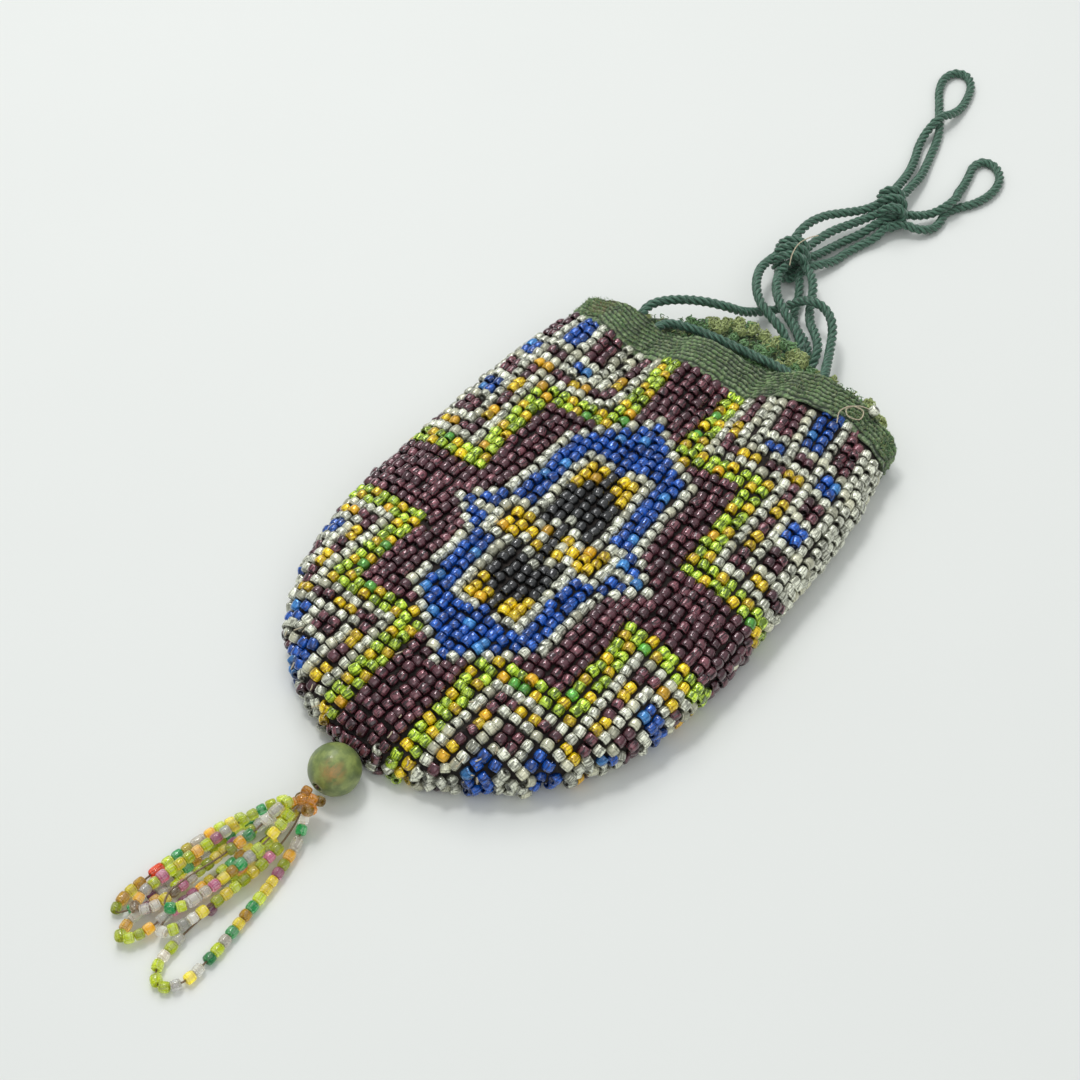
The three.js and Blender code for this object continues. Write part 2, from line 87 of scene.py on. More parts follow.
# Share of the length from the tip, then half width, thickness and lean as shares
SECTIONS = np.array((
    (0, 0.11, 0.36, -0.075), (0.012, 0.265, 0.45, -0.075), (0.033, 0.42, 0.56, -0.075),
    (0.065, 0.56, 0.67, -0.07), (0.11, 0.7, 0.78, -0.06), (0.17, 0.815, 0.87, -0.04),
    (0.235, 0.9, 0.935, -0.032), (0.3, 0.953, 0.97, -0.028), (0.38, 0.987, 0.99, -0.025),
    (0.47, 1, 1, -0.025), (0.56, 1, 1, -0.025), (0.65, 0.993, 0.985, -0.024),
    (0.73, 0.99, 0.965, -0.023), (0.8, 0.984, 0.94, -0.026), (0.87, 0.97, 0.91, -0.03),
    (0.94, 0.942, 0.875, -0.033), (1, 0.908, 0.85, -0.034),
))

# Place across from the left side to the right, then the seam as a share of the length and
# the band's height as a share
FRONT_RIM = np.array((
    (-1, 0.982, 0.55), (-0.85, 0.968, 0.65), (-0.6, 0.95, 0.92), (-0.42, 0.96, 0.78),
    (-0.2, 0.971, 0.8), (0, 0.97, 0.82), (0.16, 0.98, 0.86), (0.35, 1.01, 0.8),
    (0.52, 1.024, 0.75), (0.74, 1.036, 0.6), (0.9, 1.027, 0.55), (1, 1.02, 0.5),
))
BACK_RIM = np.array((
    (-1, 0.982, 0.55), (-0.8, 1, 0.82), (-0.5, 1.025, 1.02), (-0.2, 1.04, 1.4),
    (0.15, 1.04, 1.35), (0.4, 1.04, 1.12), (0.58, 1.04, 1.22), (0.8, 1.03, 0.98),
    (1, 1.02, 0.5),
))

# Folds run down from the mouth: place across, depth as a share of the thickness, spread
FOLDS = ((-0.45, 0.23, 0.12), (0.17, 0.19, 0.11), (0.82, 0.1, 0.1), (-0.75, -0.05, 0.14))
# Dents in the front: place across, place along, depth as a share of the thickness, spread
DENTS = (
    (-0.62, 0.36, 0.06, 0.16), (0.66, 0.5, 0.05, 0.15),
    (0.35, 0.16, 0.05, 0.13), (-0.35, 0.72, 0.04, 0.14),
)
# Waves of the back band's upper edge: place across, rise, spread
BACK_WAVES = ((-0.22, 0.7, 0.13), (0.1, 0.35, 0.09), (0.6, 0.5, 0.12), (-0.7, 0.5, 0.12))

# Routes of the cords. The two doubled cords run through both knots.
ROUTES = {
    "drawcord_mouth": tenths(
        (-205, 614, 81), (-205, 636, 76), (-190, 659, 69), (-154, 675, 64), (-106, 684, 62),
        (-58, 688, 61), (-12, 690, 61), (34, 690, 64), (74, 686, 68), (110, 676, 76),
        (144, 664, 85),
    ),
    "drawcord_left": tenths(
        (-245, 614, 93), (-250, 638, 93), (-246, 664, 92), (-228, 692, 90), (-199, 718, 88),
        (-167, 740, 84), (-134, 762, 74), (-112, 788, 54), (-103, 818, 34), (-90, 846, 23),
        (-70, 868, 25), (-44, 880, 46), (-16, 882, 70), (7, 880, 80), (33, 878, 78),
        (56, 866, 72), (75, 844, 66), (91, 814, 61), (108, 778, 64), (127, 736, 74),
        (142, 702, 88), (148, 677, 96),
    ),
    "drawcord_far": tenths(
        (16, 757.5, 32), (12, 772, 42), (-8, 787, 57), (-44, 798, 68), (-84, 816, 75),
        (-114, 846, 74), (-136, 882, 68), (-150, 920, 60), (-152, 956, 54), (-148, 995, 52),
        (-146, 1035, 54), (-149, 1072, 58), (-146, 1110, 58), (-133, 1149, 55), (-110, 1186, 50),
        (-86, 1220, 47), (-70, 1254, 47), (-64, 1295, 46), (-69, 1340, 40), (-76, 1384, 31),
        (-86, 1430, 22), (-102, 1480, 14), (-120, 1530, 12), (-127, 1576, 20), (-122, 1618, 33),
        (-113, 1660, 22), (-113, 1706, 11), (-122, 1754, 10), (-139, 1796, 10), (-166, 1820, 10),
        (-190, 1813, 10), (-200, 1782, 10), (-188, 1736, 10), (-162, 1690, 10), (-136, 1646, 10),
        (-112, 1606, 10), (-96, 1566, 10), (-83, 1522, 10), (-70, 1476, 12), (-58, 1430, 18),
        (-52, 1384, 26), (-48, 1338, 33), (-46, 1295, 39), (-54, 1250, 40), (-71, 1210, 37),
        (-87, 1174, 37), (-104, 1136, 37), (-114, 1096, 37), (-117, 1056, 39), (-110, 1020, 44),
        (-93, 996, 48), (-62, 976, 50), (-36, 946, 50), (-18, 912, 46), (-2, 882, 42),
        (18, 854, 44), (44, 830, 48), (68, 802, 50), (81, 772, 44), (84, 748, 30),
    ),
    "drawcord_near": tenths(
        (46, 752, 29), (42, 776, 39), (24, 800, 49), (-6, 820, 54), (-36, 838, 57),
        (-64, 858, 58), (-88, 884, 56), (-106, 914, 51), (-117, 944, 46), (-122, 980, 40),
        (-109, 1020, 33), (-97, 1060, 24), (-89, 1104, 17), (-76, 1148, 16), (-59, 1184, 21),
        (-46, 1218, 30), (-32, 1250, 36), (-16, 1275, 34), (10, 1302, 26), (30, 1332, 23),
        (46, 1362, 32), (50, 1394, 33), (40, 1426, 22), (32, 1466, 11), (24, 1504, 10),
        (16, 1542, 10), (26, 1568, 10), (52, 1570, 10), (78, 1548, 10), (92, 1510, 10),
        (92, 1470, 10), (80, 1430, 10), (60, 1396, 10), (47, 1364, 10), (52, 1330, 10),
        (50, 1298, 12), (31, 1270, 20), (0, 1254, 28), (-24, 1226, 26), (-30, 1194, 18),
        (-44, 1158, 12), (-56, 1120, 11), (-62, 1080, 13), (-76, 1040, 22), (-90, 1010, 29),
        (-92, 986, 27), (-74, 958, 21), (-56, 926, 16), (-44, 894, 13), (-26, 864, 13),
        (2, 840, 18), (32, 818, 23), (55, 790, 23), (63, 769, 18), (64, 750, 16),
    ),
}

CORD_NODES = {
    "drawcord_mouth": ("drawcord_mouth",),
    "drawcord_left": ("drawcord_left",),
    "drawcord_far": tuple(f"drawcord_far_{i}" for i in range(1, 6)),
    "drawcord_near": tuple(f"drawcord_near_{i}" for i in range(1, 6)),
}

# A strand's radius and its distance from the cord's middle, as shares of the cord's radius
STRAND_RADIUS = 0.47
STRAND_OFFSET = 0.53
POINTS_PER_LAY = 14
POINTS_PER_WRAP = 18

# Centre, half sizes along, across and up, turn from +Y towards -X, and number of wraps
KNOTS = {
    "lower_knot": ((-0.0124, 0.0996, 0.0044), (0.0062, 0.0043, 0.0043), 30, 3.6),
    "upper_knot": ((-0.0043, 0.1272, 0.0039), (0.0066, 0.0038, 0.0038), 36, 3.2),
}

# Loops of the tassel: aim in degrees, then reach, width, bow and rise as shares
LOOPS = (
    (19, 0.95, 1.5, 1.6, 0), (15, 0.88, 1.7, 0.9, 0.8), (11, 1, 1.6, 0.3, 0.3),
    (9, 0.78, 1.9, -0.3, 1.2), (5, 0.86, 1.4, -0.9, 0.5), (-5, 1.04, 2.9, -0.6, 0),
)
LOOP_SHAPE = (
    (0.14, 0.5, 0.6, 1.7), (0.34, 0.7, 1, 1.3), (0.58, 0.85, 0.8, 1.05),
    (0.81, 1, 0.35, 1.01), (0.94, 0.8, 0.1, 1.01),
)

# The beadwork: rows run across, columns run up from the tip

LAST_ROW = 31
MIDDLE_ROW_Y = -0.0009
MIDDLE_SEAM = FRONT_RIM[5, 1]
ROW_SPREAD = 0.00023
ROW_EASE = 6.0
BEND_SHARE = 0.75
COLUMN_DRIFT = 0.00022
EDGE_MARGIN = 0.42
SEAM_OVERLAP = 0.0008
# Where rows are nearer than the first no bead fits, and no bead is longer than the second
SHORTEST_BEAD = 0.0009
LONGEST_BEAD = 0.00212
BEAD_SIDES = 9
CLOTH_AROUND = 160
# Depth of the cloth's two faces under the outline
CLOTH_INSETS = (0.00125, 0.00205)
# Row, place of the middle column, and distance between columns to the left and the right
COLUMN_PLACES = np.array((
    (-28, -0.0037, 0.00240, 0.00235), (-20, -0.0010, 0.00250, 0.00235),
    (-10, 0.0002, 0.00245, 0.00230), (0, 0.0005, 0.00236, 0.00225),
    (10, -0.0003, 0.00232, 0.00222), (17, -0.0016, 0.00230, 0.00220),
    (25, -0.0032, 0.00230, 0.00216), (33, -0.0036, 0.00230, 0.00216),
))

# Beads that fill bare spots: step of the search, then distances from seam, rows and each other
FILL_STEP = 0.0005
FILL_FROM_SEAM = 0.0012
FILL_FROM_ROWS = 0.00165
FILL_PITCH = 0.0019


class Look(NamedTuple):
    """A glass: the colour of its painted highlight streaks, the colour and share of odd beads,
    its lining, and its glow, an emission that is painted light.
    """
    bright: tuple
    other: tuple
    others: float
    lining: float = 0.3
    glow: float = 0.07


LOOKS = {
    "purple": Look((0.24, 0.075, 0.095), (0.10, 0.028, 0.040), 0.35, glow=0.0),
    "silver": Look((0.88, 0.90, 0.72), (0.62, 0.61, 0.43), 0.15),
    "blue": Look((0.010, 0.118, 0.56), (0.055, 0.29, 0.68), 0.14),
    "lime": Look((0.66, 0.92, 0.06), (0.07, 0.44, 0.06), 0.08),
    "gold": Look((1.0, 0.72, 0.005), (0.86, 0.44, 0.005), 0.15),
    "black": Look((0.022, 0.024, 0.024), (0.012, 0.012, 0.013), 0.3, lining=0.0, glow=0.0),
}


class Bead(NamedTuple):
    """A seed bead: its middle, its directions and pitch, its colour and its side."""
    middle: np.ndarray
    axis: np.ndarray
    side: np.ndarray
    pitch: float
    colour: str
    front: bool
    outward: np.ndarray


# The camera that the purse was seen by, with its turns in degrees
CAMERA_PLACE = (0.1415, -0.1861, 0.2940)
CAMERA_TILT = 39.86
CAMERA_TURN = 37.82
CAMERA_LENS = 66.67
SENSOR_WIDTH = 36

# Lights: place, width, and the name of the setting for their power
LIGHTS = {
    "key_light": ((-0.55, 0.60, 0.95), 0.60, "key"),
    "window_light": ((-0.30, 0.10, 0.80), 0.20, "glint"),
    "soft_light": ((0.6, -0.5, 0.8), 0.9, "fill"),
}
LIGHTS_AIM = (0, 0.03, 0)
ROOM_LOW = (0.20, 0.21, 0.21, 1)
ROOM_HIGH = (0.95, 0.98, 1.0, 1)
ROOM_STRENGTH = 0.66
FLOOR_HALF = 1.5
FLOOR_POINTS = 13


# Settings

def length(name, description, default):
    return FloatProperty(
        name=name, description=description, default=default, min=0, precision=5,
        subtype="DISTANCE", unit="LENGTH",
    )


def colour(name, description, default):
    return FloatVectorProperty(
        name=name, description=description, default=default, size=3, min=0, max=1,
        subtype="COLOR",
    )


def amount(name, description, default, least):
    return IntProperty(name=name, description=description, default=default, min=least)


def power(name, description, default):
    return FloatProperty(name=name, description=description, default=default)


class BeadworkSettings(PropertyGroup):
    bead_width: length("Bead Width", "Width of a seed bead", 0.00226)
    bead_hole: length("Bead Hole", "Width of the hole in a seed bead", 0.0009)
    row_pitch: length("Row Pitch", "Mean distance from row to row", 0.002055)
    depth: length("Depth", "Depth of a bead's middle under the outline", 0.00105)
    tilt: FloatProperty(
        name="Tilt", description="How far a bead may lean from its column",
        default=math.radians(7), subtype="ANGLE",
    )
    purple: colour("Purple", "Amethyst glass of the ground", (0.062, 0.016, 0.025))
    silver: colour("Silver", "Silver lined clear glass", (0.560, 0.570, 0.440))
    blue: colour("Blue", "Silver lined blue glass", (0.008, 0.060, 0.340))
    lime: colour("Lime", "Silver lined lime glass", (0.230, 0.380, 0.012))
    gold: colour("Gold", "Silver lined yellow glass", (0.860, 0.520, 0.006))
    black: colour("Black", "Dark glass of the medallion", (0.009, 0.010, 0.011))
    ground: colour("Ground", "Thread that the beads are worked on", (0.016, 0.012, 0.010))


class BandSettings(PropertyGroup):
    rib_pitch: length("Rib Pitch", "Distance between the ribs of the weave", 0.00108)
    stitch: length("Stitch", "Length of one stitch along a rib", 0.00125)
    relief: length("Relief", "Height of the weave", 0.00046)
    wall: length("Wall", "Thickness of the band", 0.0018)
    tufts: amount("Tufts", "Frayed threads on the edge", 300, 8)
    fuzz: amount("Fuzz", "Short fibres on the band", 1500, 8)
    cloth: colour("Cloth", "Green of the woven band", (0.112, 0.215, 0.086))
    fray: colour("Fray", "Faded threads of the frayed edge", (0.260, 0.310, 0.120))
    stain: colour("Stain", "Brown stain at the left end", (0.220, 0.130, 0.050))


class CordSettings(PropertyGroup):
    diameter: length("Diameter", "Width of the twisted cord", 0.0021)
    lay: length("Lay", "Length in which a strand goes once round", 0.0045)
    strands: amount("Strands", "Strands in the cord", 3, 2)
    sides: amount("Sides", "Sides of a strand", 6, 3)
    green: colour("Green", "Bottle green of the cord", (0.040, 0.102, 0.066))
    loose: colour("Loose Thread", "Cream of the loose threads", (0.560, 0.480, 0.330))


class TasselSettings(PropertyGroup):
    bead_width: length("Bead Width", "Width of a tassel bead", 0.0020)
    bead_length: length("Bead Length", "Length of a short tassel bead", 0.0018)
    thread: length("Thread", "Width of the brown thread", 0.00036)
    wood: colour("Wood", "Sage green stain of the wooden bead", (0.200, 0.270, 0.085))
    worn: colour("Worn Wood", "Ochre of the worn patch", (0.460, 0.260, 0.080))
    brown: colour("Thread Colour", "Brown of the thread", (0.170, 0.115, 0.070))


class StageSettings(PropertyGroup):
    floor: colour("Floor", "Pale floor under the purse", (0.800, 0.815, 0.785))
    key: power("Key", "Power of the main light in watts", 3.2)
    glint: power("Glint", "Power of the small light in watts", 2.0)
    fill: power("Fill", "Power of the soft light in watts", 1.6)


# Helpers for shapes

def eased(table, at, column):
    """A column's value between the rows of a table, eased at each row."""
    keys = table[:, 0]
    place = np.clip(at, keys[0], keys[-1])
    high = np.clip(np.searchsorted(keys, place, side="left"), 1, len(keys) - 1)
    share = (place - keys[high - 1]) / (keys[high] - keys[high - 1])
    share = share * share * (3 - 2 * share)
    values = table[:, column]
    return values[high - 1] + (values[high] - values[high - 1]) * share


def bump(offset, spread):
    return np.exp(-0.5 * (offset / spread) ** 2)


def unit(vectors):
    return vectors / np.maximum(np.linalg.norm(vectors, axis=-1, keepdims=True), 1e-12)


def grid_faces(rows, columns, wrap_columns, wrap_rows=False):
    """Quads of a grid of points, wrapped round where asked."""
    r = np.arange(rows if wrap_rows else rows - 1)
    c = np.arange(columns if wrap_columns else columns - 1)
    r, c = np.meshgrid(r, c, indexing="ij")
    r, c = r.ravel(), c.ravel()
    r2, c2 = (r + 1) % rows, (c + 1) % columns
    return np.stack((r * columns + c, r * columns + c2, r2 * columns + c2, r2 * columns + c), 1)


def above_floor(points, lowest=0.0):
    """Lifts the points that would be lower, in place."""
    points[:, 2] = np.maximum(points[:, 2], lowest)
    return points


def piece(name, points, faces, marks, material, slot=None):
    """A smooth object from points and quads, with marks kept on its points."""
    mesh = bpy.data.meshes.new(name)
    faces = np.asarray(faces, dtype=np.int32)
    mesh.vertices.add(len(points))
    mesh.vertices.foreach_set("co", np.asarray(points, dtype=np.float32).ravel())
    mesh.loops.add(faces.size)
    mesh.loops.foreach_set("vertex_index", faces.ravel())
    mesh.polygons.add(len(faces))
    starts = np.arange(0, faces.size, faces.shape[1], dtype=np.int32)
    mesh.polygons.foreach_set("loop_start", starts)
    mesh.update(calc_edges=True)
    mesh.validate()
    mesh.shade_smooth()
    for mark, values in marks.items():
        values = np.asarray(values, dtype=np.float32)
        kind = "FLOAT" if values.ndim == 1 else "FLOAT_VECTOR"
        field = mesh.attributes.new(mark, kind, "POINT")
        field.data.foreach_set("value" if values.ndim == 1 else "vector", values.ravel())
    thing = bpy.data.objects.new(name, mesh)
    bpy.context.scene.collection.objects.link(thing)
    mesh.materials.append(material)
    if slot:
        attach(thing, "root")
    return thing


def joined(parts):
    """One set of points, faces and marks out of several."""
    points, faces, marks, count = [], [], {}, 0
    for part_points, part_faces, part_marks in parts:
        points.append(part_points)
        faces.append(np.asarray(part_faces) + count)
        count += len(part_points)
        for key, values in part_marks.items():
            marks.setdefault(key, []).append(values)
    return (
        np.concatenate(points), np.concatenate(faces),
        {key: np.concatenate(values) for key, values in marks.items()},
    )


def flowing(points, per_span=24):
    """A smooth line through the points, each span paced by the root of its length."""
    points = np.asarray(points, dtype=float)
    ends = np.vstack((2 * points[0] - points[1], points, 2 * points[-1] - points[-2]))
    line = []
    t = np.linspace(0, 1, per_span, endpoint=False)[:, None]
    for i in range(len(points) - 1):
        p0, p1, p2, p3 = ends[i:i + 4]
        d0, d1, d2 = (
            max(np.linalg.norm(b - a) ** 0.5, 1e-6) for a, b in ((p0, p1), (p1, p2), (p2, p3)))
        m1 = ((p1 - p0) / d0 - (p2 - p0) / (d0 + d1) + (p2 - p1) / d1) * d1
        m2 = ((p2 - p1) / d1 - (p3 - p1) / (d1 + d2) + (p3 - p2) / d2) * d1
        line.append(
            p1 + m1 * t + (-3 * p1 + 3 * p2 - 2 * m1 - m2) * t ** 2
            + (2 * p1 - 2 * p2 + m1 + m2) * t ** 3
        )
    line.append(points[-1:])
    return np.concatenate(line)


def run_of(line):
    return np.concatenate(((0,), np.cumsum(np.linalg.norm(np.diff(line, axis=0), axis=1))))


def points_at(line, run, at):
    """Points of a line at distances along it."""
    return np.stack([np.interp(at, run, line[:, k]) for k in range(3)], -1)


def evenly(line, step):
    run = run_of(line)
    spans = max(3, int(round(run[-1] / step)))
    return points_at(line, run, np.linspace(0, run[-1], spans + 1))


def frames_along(line):
    """Tangents and two side directions that turn as little as they can along a line."""
    tangents = unit(np.gradient(line, axis=0))
    side = np.cross(tangents[0], (0, 0, 1))
    if np.linalg.norm(side) < 1e-3:
        side = np.cross(tangents[0], (1, 0, 0))
    sides = np.empty_like(line)
    side = side / np.linalg.norm(side)
    for i, tangent in enumerate(tangents):
        side = side - tangent * np.dot(side, tangent)
        side = side / np.linalg.norm(side)
        sides[i] = side
    return tangents, sides, np.cross(tangents, sides)


def strand(line, radii, sides, outward=None, tint=0.0):
    """A round strand along a line, marked round and along."""
    tangents, side, other = frames_along(line)
    if outward is not None:
        side = unit(outward - tangents * np.sum(outward * tangents, 1, keepdims=True))
        other = np.cross(tangents, side)
    angle = np.linspace(0, 2 * math.pi, sides, endpoint=False)
    ring = (
        side[:, None] * np.cos(angle)[None, :, None]
        + other[:, None] * np.sin(angle)[None, :, None]
    )
    points = (line[:, None] + ring * np.asarray(radii)[:, None, None]).reshape(-1, 3)
    faces = grid_faces(len(line), sides, True)
    run = run_of(line)
    place = np.stack((
        np.tile(np.cos(angle), len(line)), np.tile(np.sin(angle), len(line)),
        np.repeat(run * 1000, sides),
    ), 1)
    return points, faces, {"place": place, "tint": np.full(len(points), tint)}


def rope(route, settings):
    """Strands twisted round a line, and the line."""
    radius = settings.diameter / 2
    line = evenly(flowing(route), settings.lay / POINTS_PER_LAY)
    _, side, other = frames_along(line)
    turn = 2 * math.pi * run_of(line) / settings.lay
    thick = np.full(len(line), STRAND_RADIUS * radius)
    thick[0] = thick[-1] = 0.02 * radius
    thick[1] = thick[-2] = 0.36 * radius
    parts = []
    for k in range(settings.strands):
        angle = turn + 2 * math.pi * k / settings.strands
        outward = side * np.cos(angle)[:, None] + other * np.sin(angle)[:, None]
        middle = line + outward * STRAND_OFFSET * radius
        parts.append(strand(middle, thick, settings.sides, outward, k / 3))
    points, faces, marks = joined(parts)
    return line, (above_floor(points), faces, marks)


# The pouch's outline

def sink(across, front, up, y, seam):
    """How far the front sinks in its folds and dents."""
    near = np.clip(1 - (seam - y) / FOLD_REACH, 0, 1)
    near = near * near * (3 - 2 * near)
    depth = sum(fold * bump(across - place, spread) for place, fold, spread in FOLDS) * near
    along = (y - TIP_Y) / POUCH_LENGTH
    for place, place_along, dent, spread in DENTS:
        off = np.hypot(across - place, 2 * (along - place_along))
        depth = depth + dent * bump(off, spread)
    return np.where(front, POUCH_THICKNESS * depth * up, 0)


def round_shape(turn):
    """Place across, whether in front, and share up, at a turn from the right side."""
    c, s = np.cos(turn), np.sin(turn)
    front = s > -1e-9
    power = np.where(front, 2 / FRONT_ROUND, 2 / BACK_ROUND)
    return np.sign(c) * np.abs(c) ** power, front, np.abs(s) ** power


def seam_share(across, front):
    return np.where(front, eased(FRONT_RIM, across, 1), eased(BACK_RIM, across, 1))


def pouch_point(turn, along, inset, y=None):
    """A point of the pouch's outline, inset by a depth."""
    across, front, up = round_shape(turn)
    seam = TIP_Y + POUCH_LENGTH * seam_share(across, front)
    if y is None:
        y = TIP_Y + inset + (seam - TIP_Y - inset) * along
    else:
        along = np.clip((y - TIP_Y - inset) / (seam - TIP_Y - inset), 0, 1)
    half = POUCH_WIDTH / 2 * eased(SECTIONS, along, 1) - inset
    top = POUCH_THICKNESS * eased(SECTIONS, along, 2)
    centre = POUCH_WIDTH / 2 * eased(SECTIONS, along, 3)
    side = np.minimum(SIDE_FOLD_HEIGHT, top / 2)
    x = centre + half * across
    flat = np.minimum(1, BACK_FLATNESS * up)
    z = np.where(front, side + (top - inset - side) * up, side - (side - inset) * flat)
    z = z - sink(across, front, up, y, seam)
    return np.stack((x, y + 0 * x, z), -1), seam


def band_point(turn, share, inset):
    """A point of the band, from its seam with the beadwork to its upper edge."""
    across, front, up = round_shape(turn)
    seam = TIP_Y + POUCH_LENGTH * seam_share(across, front)
    tall = np.where(front, eased(FRONT_RIM, across, 2), eased(BACK_RIM, across, 2))
    half = POUCH_WIDTH / 2 * SECTIONS[-1, 1] - BAND_STEP_IN - inset
    top = POUCH_THICKNESS * SECTIONS[-1, 2] - BAND_STEP_IN - inset
    centre = POUCH_WIDTH / 2 * SECTIONS[-1, 3]
    side = min(SIDE_FOLD_HEIGHT, POUCH_THICKNESS * SECTIONS[-1, 2] / 2)
    y = seam + SEAM_GAP + (BAND_HEIGHT * tall - SEAM_GAP) * share
    x = centre + half * across
    flat = np.minimum(1, BACK_FLATNESS * up)
    z = np.where(front, side + (top - side) * up, side - (side - inset) * flat)
    wave = 1 + sum(rise * bump(across - place, spread) for place, rise, spread in BACK_WAVES)
    z = z - sink(across, front, up, y, seam)
    z = z + np.where(front, 0, BACK_BAND_LIFT * share ** 2 * wave * up)
    return np.stack((x, y, z), -1), BAND_HEIGHT * tall


# Helpers for materials

BLACK = (0, 0, 0, 1)
WHITE = (1, 1, 1, 1)


def node(tree, kind, links=None, **settings):
    """A node with its settings, its plain values and its links."""
    made = tree.nodes.new(kind)
    for key, value in settings.items():
        setattr(made, key, value)
    for key, value in (links or {}).items():
        socket = made.inputs[key]
        if isinstance(value, bpy.types.NodeSocket):
            tree.links.new(value, socket)
        else:
            socket.default_value = value
    return made


def math_of(tree, operation, *values):
    return node(tree, "ShaderNodeMath", dict(enumerate(values)), operation=operation).outputs[0]


def mixed(tree, factor, first, second, blend="MIX"):
    return node(tree, "ShaderNodeMix", {0: factor, 6: first, 7: second},
                data_type="RGBA", blend_type=blend).outputs[2]


def spread_of(tree, value, low, high, to_low=0.0, to_high=1.0):
    return node(tree, "ShaderNodeMapRange", {
        "Value": value, "From Min": low, "From Max": high, "To Min": to_low, "To Max": to_high,
    }).outputs[0]


def full(colour_value, share=1.0):
    """A colour with its alpha, darker or brighter by a share."""
    return (*(value * share for value in colour_value[:3]), 1)


def mark_of(tree, name, output="Fac"):
    """A mark that the mesh keeps on its points."""
    return node(tree, "ShaderNodeAttribute", attribute_name=name).outputs[output]


def tint_all(tree, main, colour_socket, *others):
    """Links a colour to the shader's base colour, and to others of its sockets."""
    for key in ("Base Color", *others):
        tree.links.new(colour_socket, main.inputs[key])


def group_start(name, inputs, outputs):
    """A node group with its two end nodes. A socket whose value is a tuple is a colour."""
    group = bpy.data.node_groups.new(name, "ShaderNodeTree")
    for way, sockets in (("INPUT", inputs), ("OUTPUT", outputs)):
        for label, value in sockets.items():
            kind = "NodeSocketColor" if isinstance(value, tuple) else "NodeSocketFloat"
            group.interface.new_socket(label, in_out=way, socket_type=kind).default_value = value
    return group, group.nodes.new("NodeGroupInput"), group.nodes.new("NodeGroupOutput")


def bead_glass():
    """Painted highlight streaks along each bead, painted shade on its rims, in its hole and low
    towards the cloth, and a tint of its own.
    """
    name = "Bead Glass"
    if name in bpy.data.node_groups:
        return bpy.data.node_groups[name]
    group, given, put = group_start(
        name,
        {"Deep": BLACK, "Body": BLACK, "Bright": WHITE, "Other": WHITE, "Others": 0.2,
         "Streaks": 1.0},
        {"Color": WHITE, "Height": 0.0},
    )
    place, tint = mark_of(group, "place", "Vector"), mark_of(group, "tint")
    squeezed = node(group, "ShaderNodeVectorMath", {0: place, 1: (1, 1, 0.22)},
                    operation="MULTIPLY")
    noise = node(group, "ShaderNodeTexNoise", {
        "Vector": squeezed.outputs[0], "W": math_of(group, "MULTIPLY", tint, 61.0),
        "Scale": 3.0, "Detail": 1.0, "Roughness": 0.6,
    }, noise_dimensions="4D").outputs[0]
    highlight_streak = spread_of(group, noise, 0.43, 0.55)

    # Painted shade on a bead: its rims, its hole, and a wavy line inside each rim
    parts = node(group, "ShaderNodeSeparateXYZ", {0: place}).outputs
    along = math_of(group, "ABSOLUTE", parts[2])
    rim = spread_of(group, along, 0.86, 0.99)
    wavy = math_of(group, "ADD", along, math_of(group, "MULTIPLY", noise, 0.35))
    off_line = math_of(group, "ABSOLUTE", math_of(group, "SUBTRACT", wavy, 0.76))
    line = spread_of(group, off_line, 0.13, 0.04)
    across = math_of(group, "ADD", math_of(group, "POWER", parts[0], 2.0),
                     math_of(group, "POWER", parts[1], 2.0))
    hole = spread_of(group, across, 0.42, 0.20)
    edge = math_of(group, "MAXIMUM", math_of(group, "MULTIPLY", rim, 0.7), hole)
    edge = math_of(group, "MAXIMUM", edge, math_of(group, "MULTIPLY", line, 0.5))

    # Its colour: painted highlight streaks, then the odd colour for a share of the beads, then
    # the painted shade of the dark places
    factor = math_of(group, "MULTIPLY", highlight_streak, given.outputs["Streaks"])
    glow = mixed(group, factor, given.outputs["Body"], given.outputs["Bright"])
    lot = math_of(group, "FRACT", math_of(group, "MULTIPLY", tint, 7.3))
    is_other = math_of(group, "LESS_THAN", lot, given.outputs["Others"])
    is_other = math_of(group, "MULTIPLY", is_other, spread_of(group, highlight_streak, 0, 1, 0.5, 0.95))
    glow = mixed(group, is_other, glow, given.outputs["Other"])
    shade = mixed(group, edge, glow, given.outputs["Deep"])

    # Painted shade, darker towards the cloth, and a brightness of its own
    low = spread_of(group, mark_of(group, "rise"), 0.45, -0.2, 0.0, 0.8)
    shade = mixed(group, low, shade, given.outputs["Deep"])
    own = spread_of(group, tint, 0.0, 1.0, 0.66, 1.26)
    grey = node(group, "ShaderNodeCombineXYZ", {0: own, 1: own, 2: own}).outputs[0]
    shade = mixed(group, 1.0, shade, grey, "MULTIPLY")
    group.links.new(shade, put.inputs["Color"])
    group.links.new(noise, put.inputs["Height"])
    return group


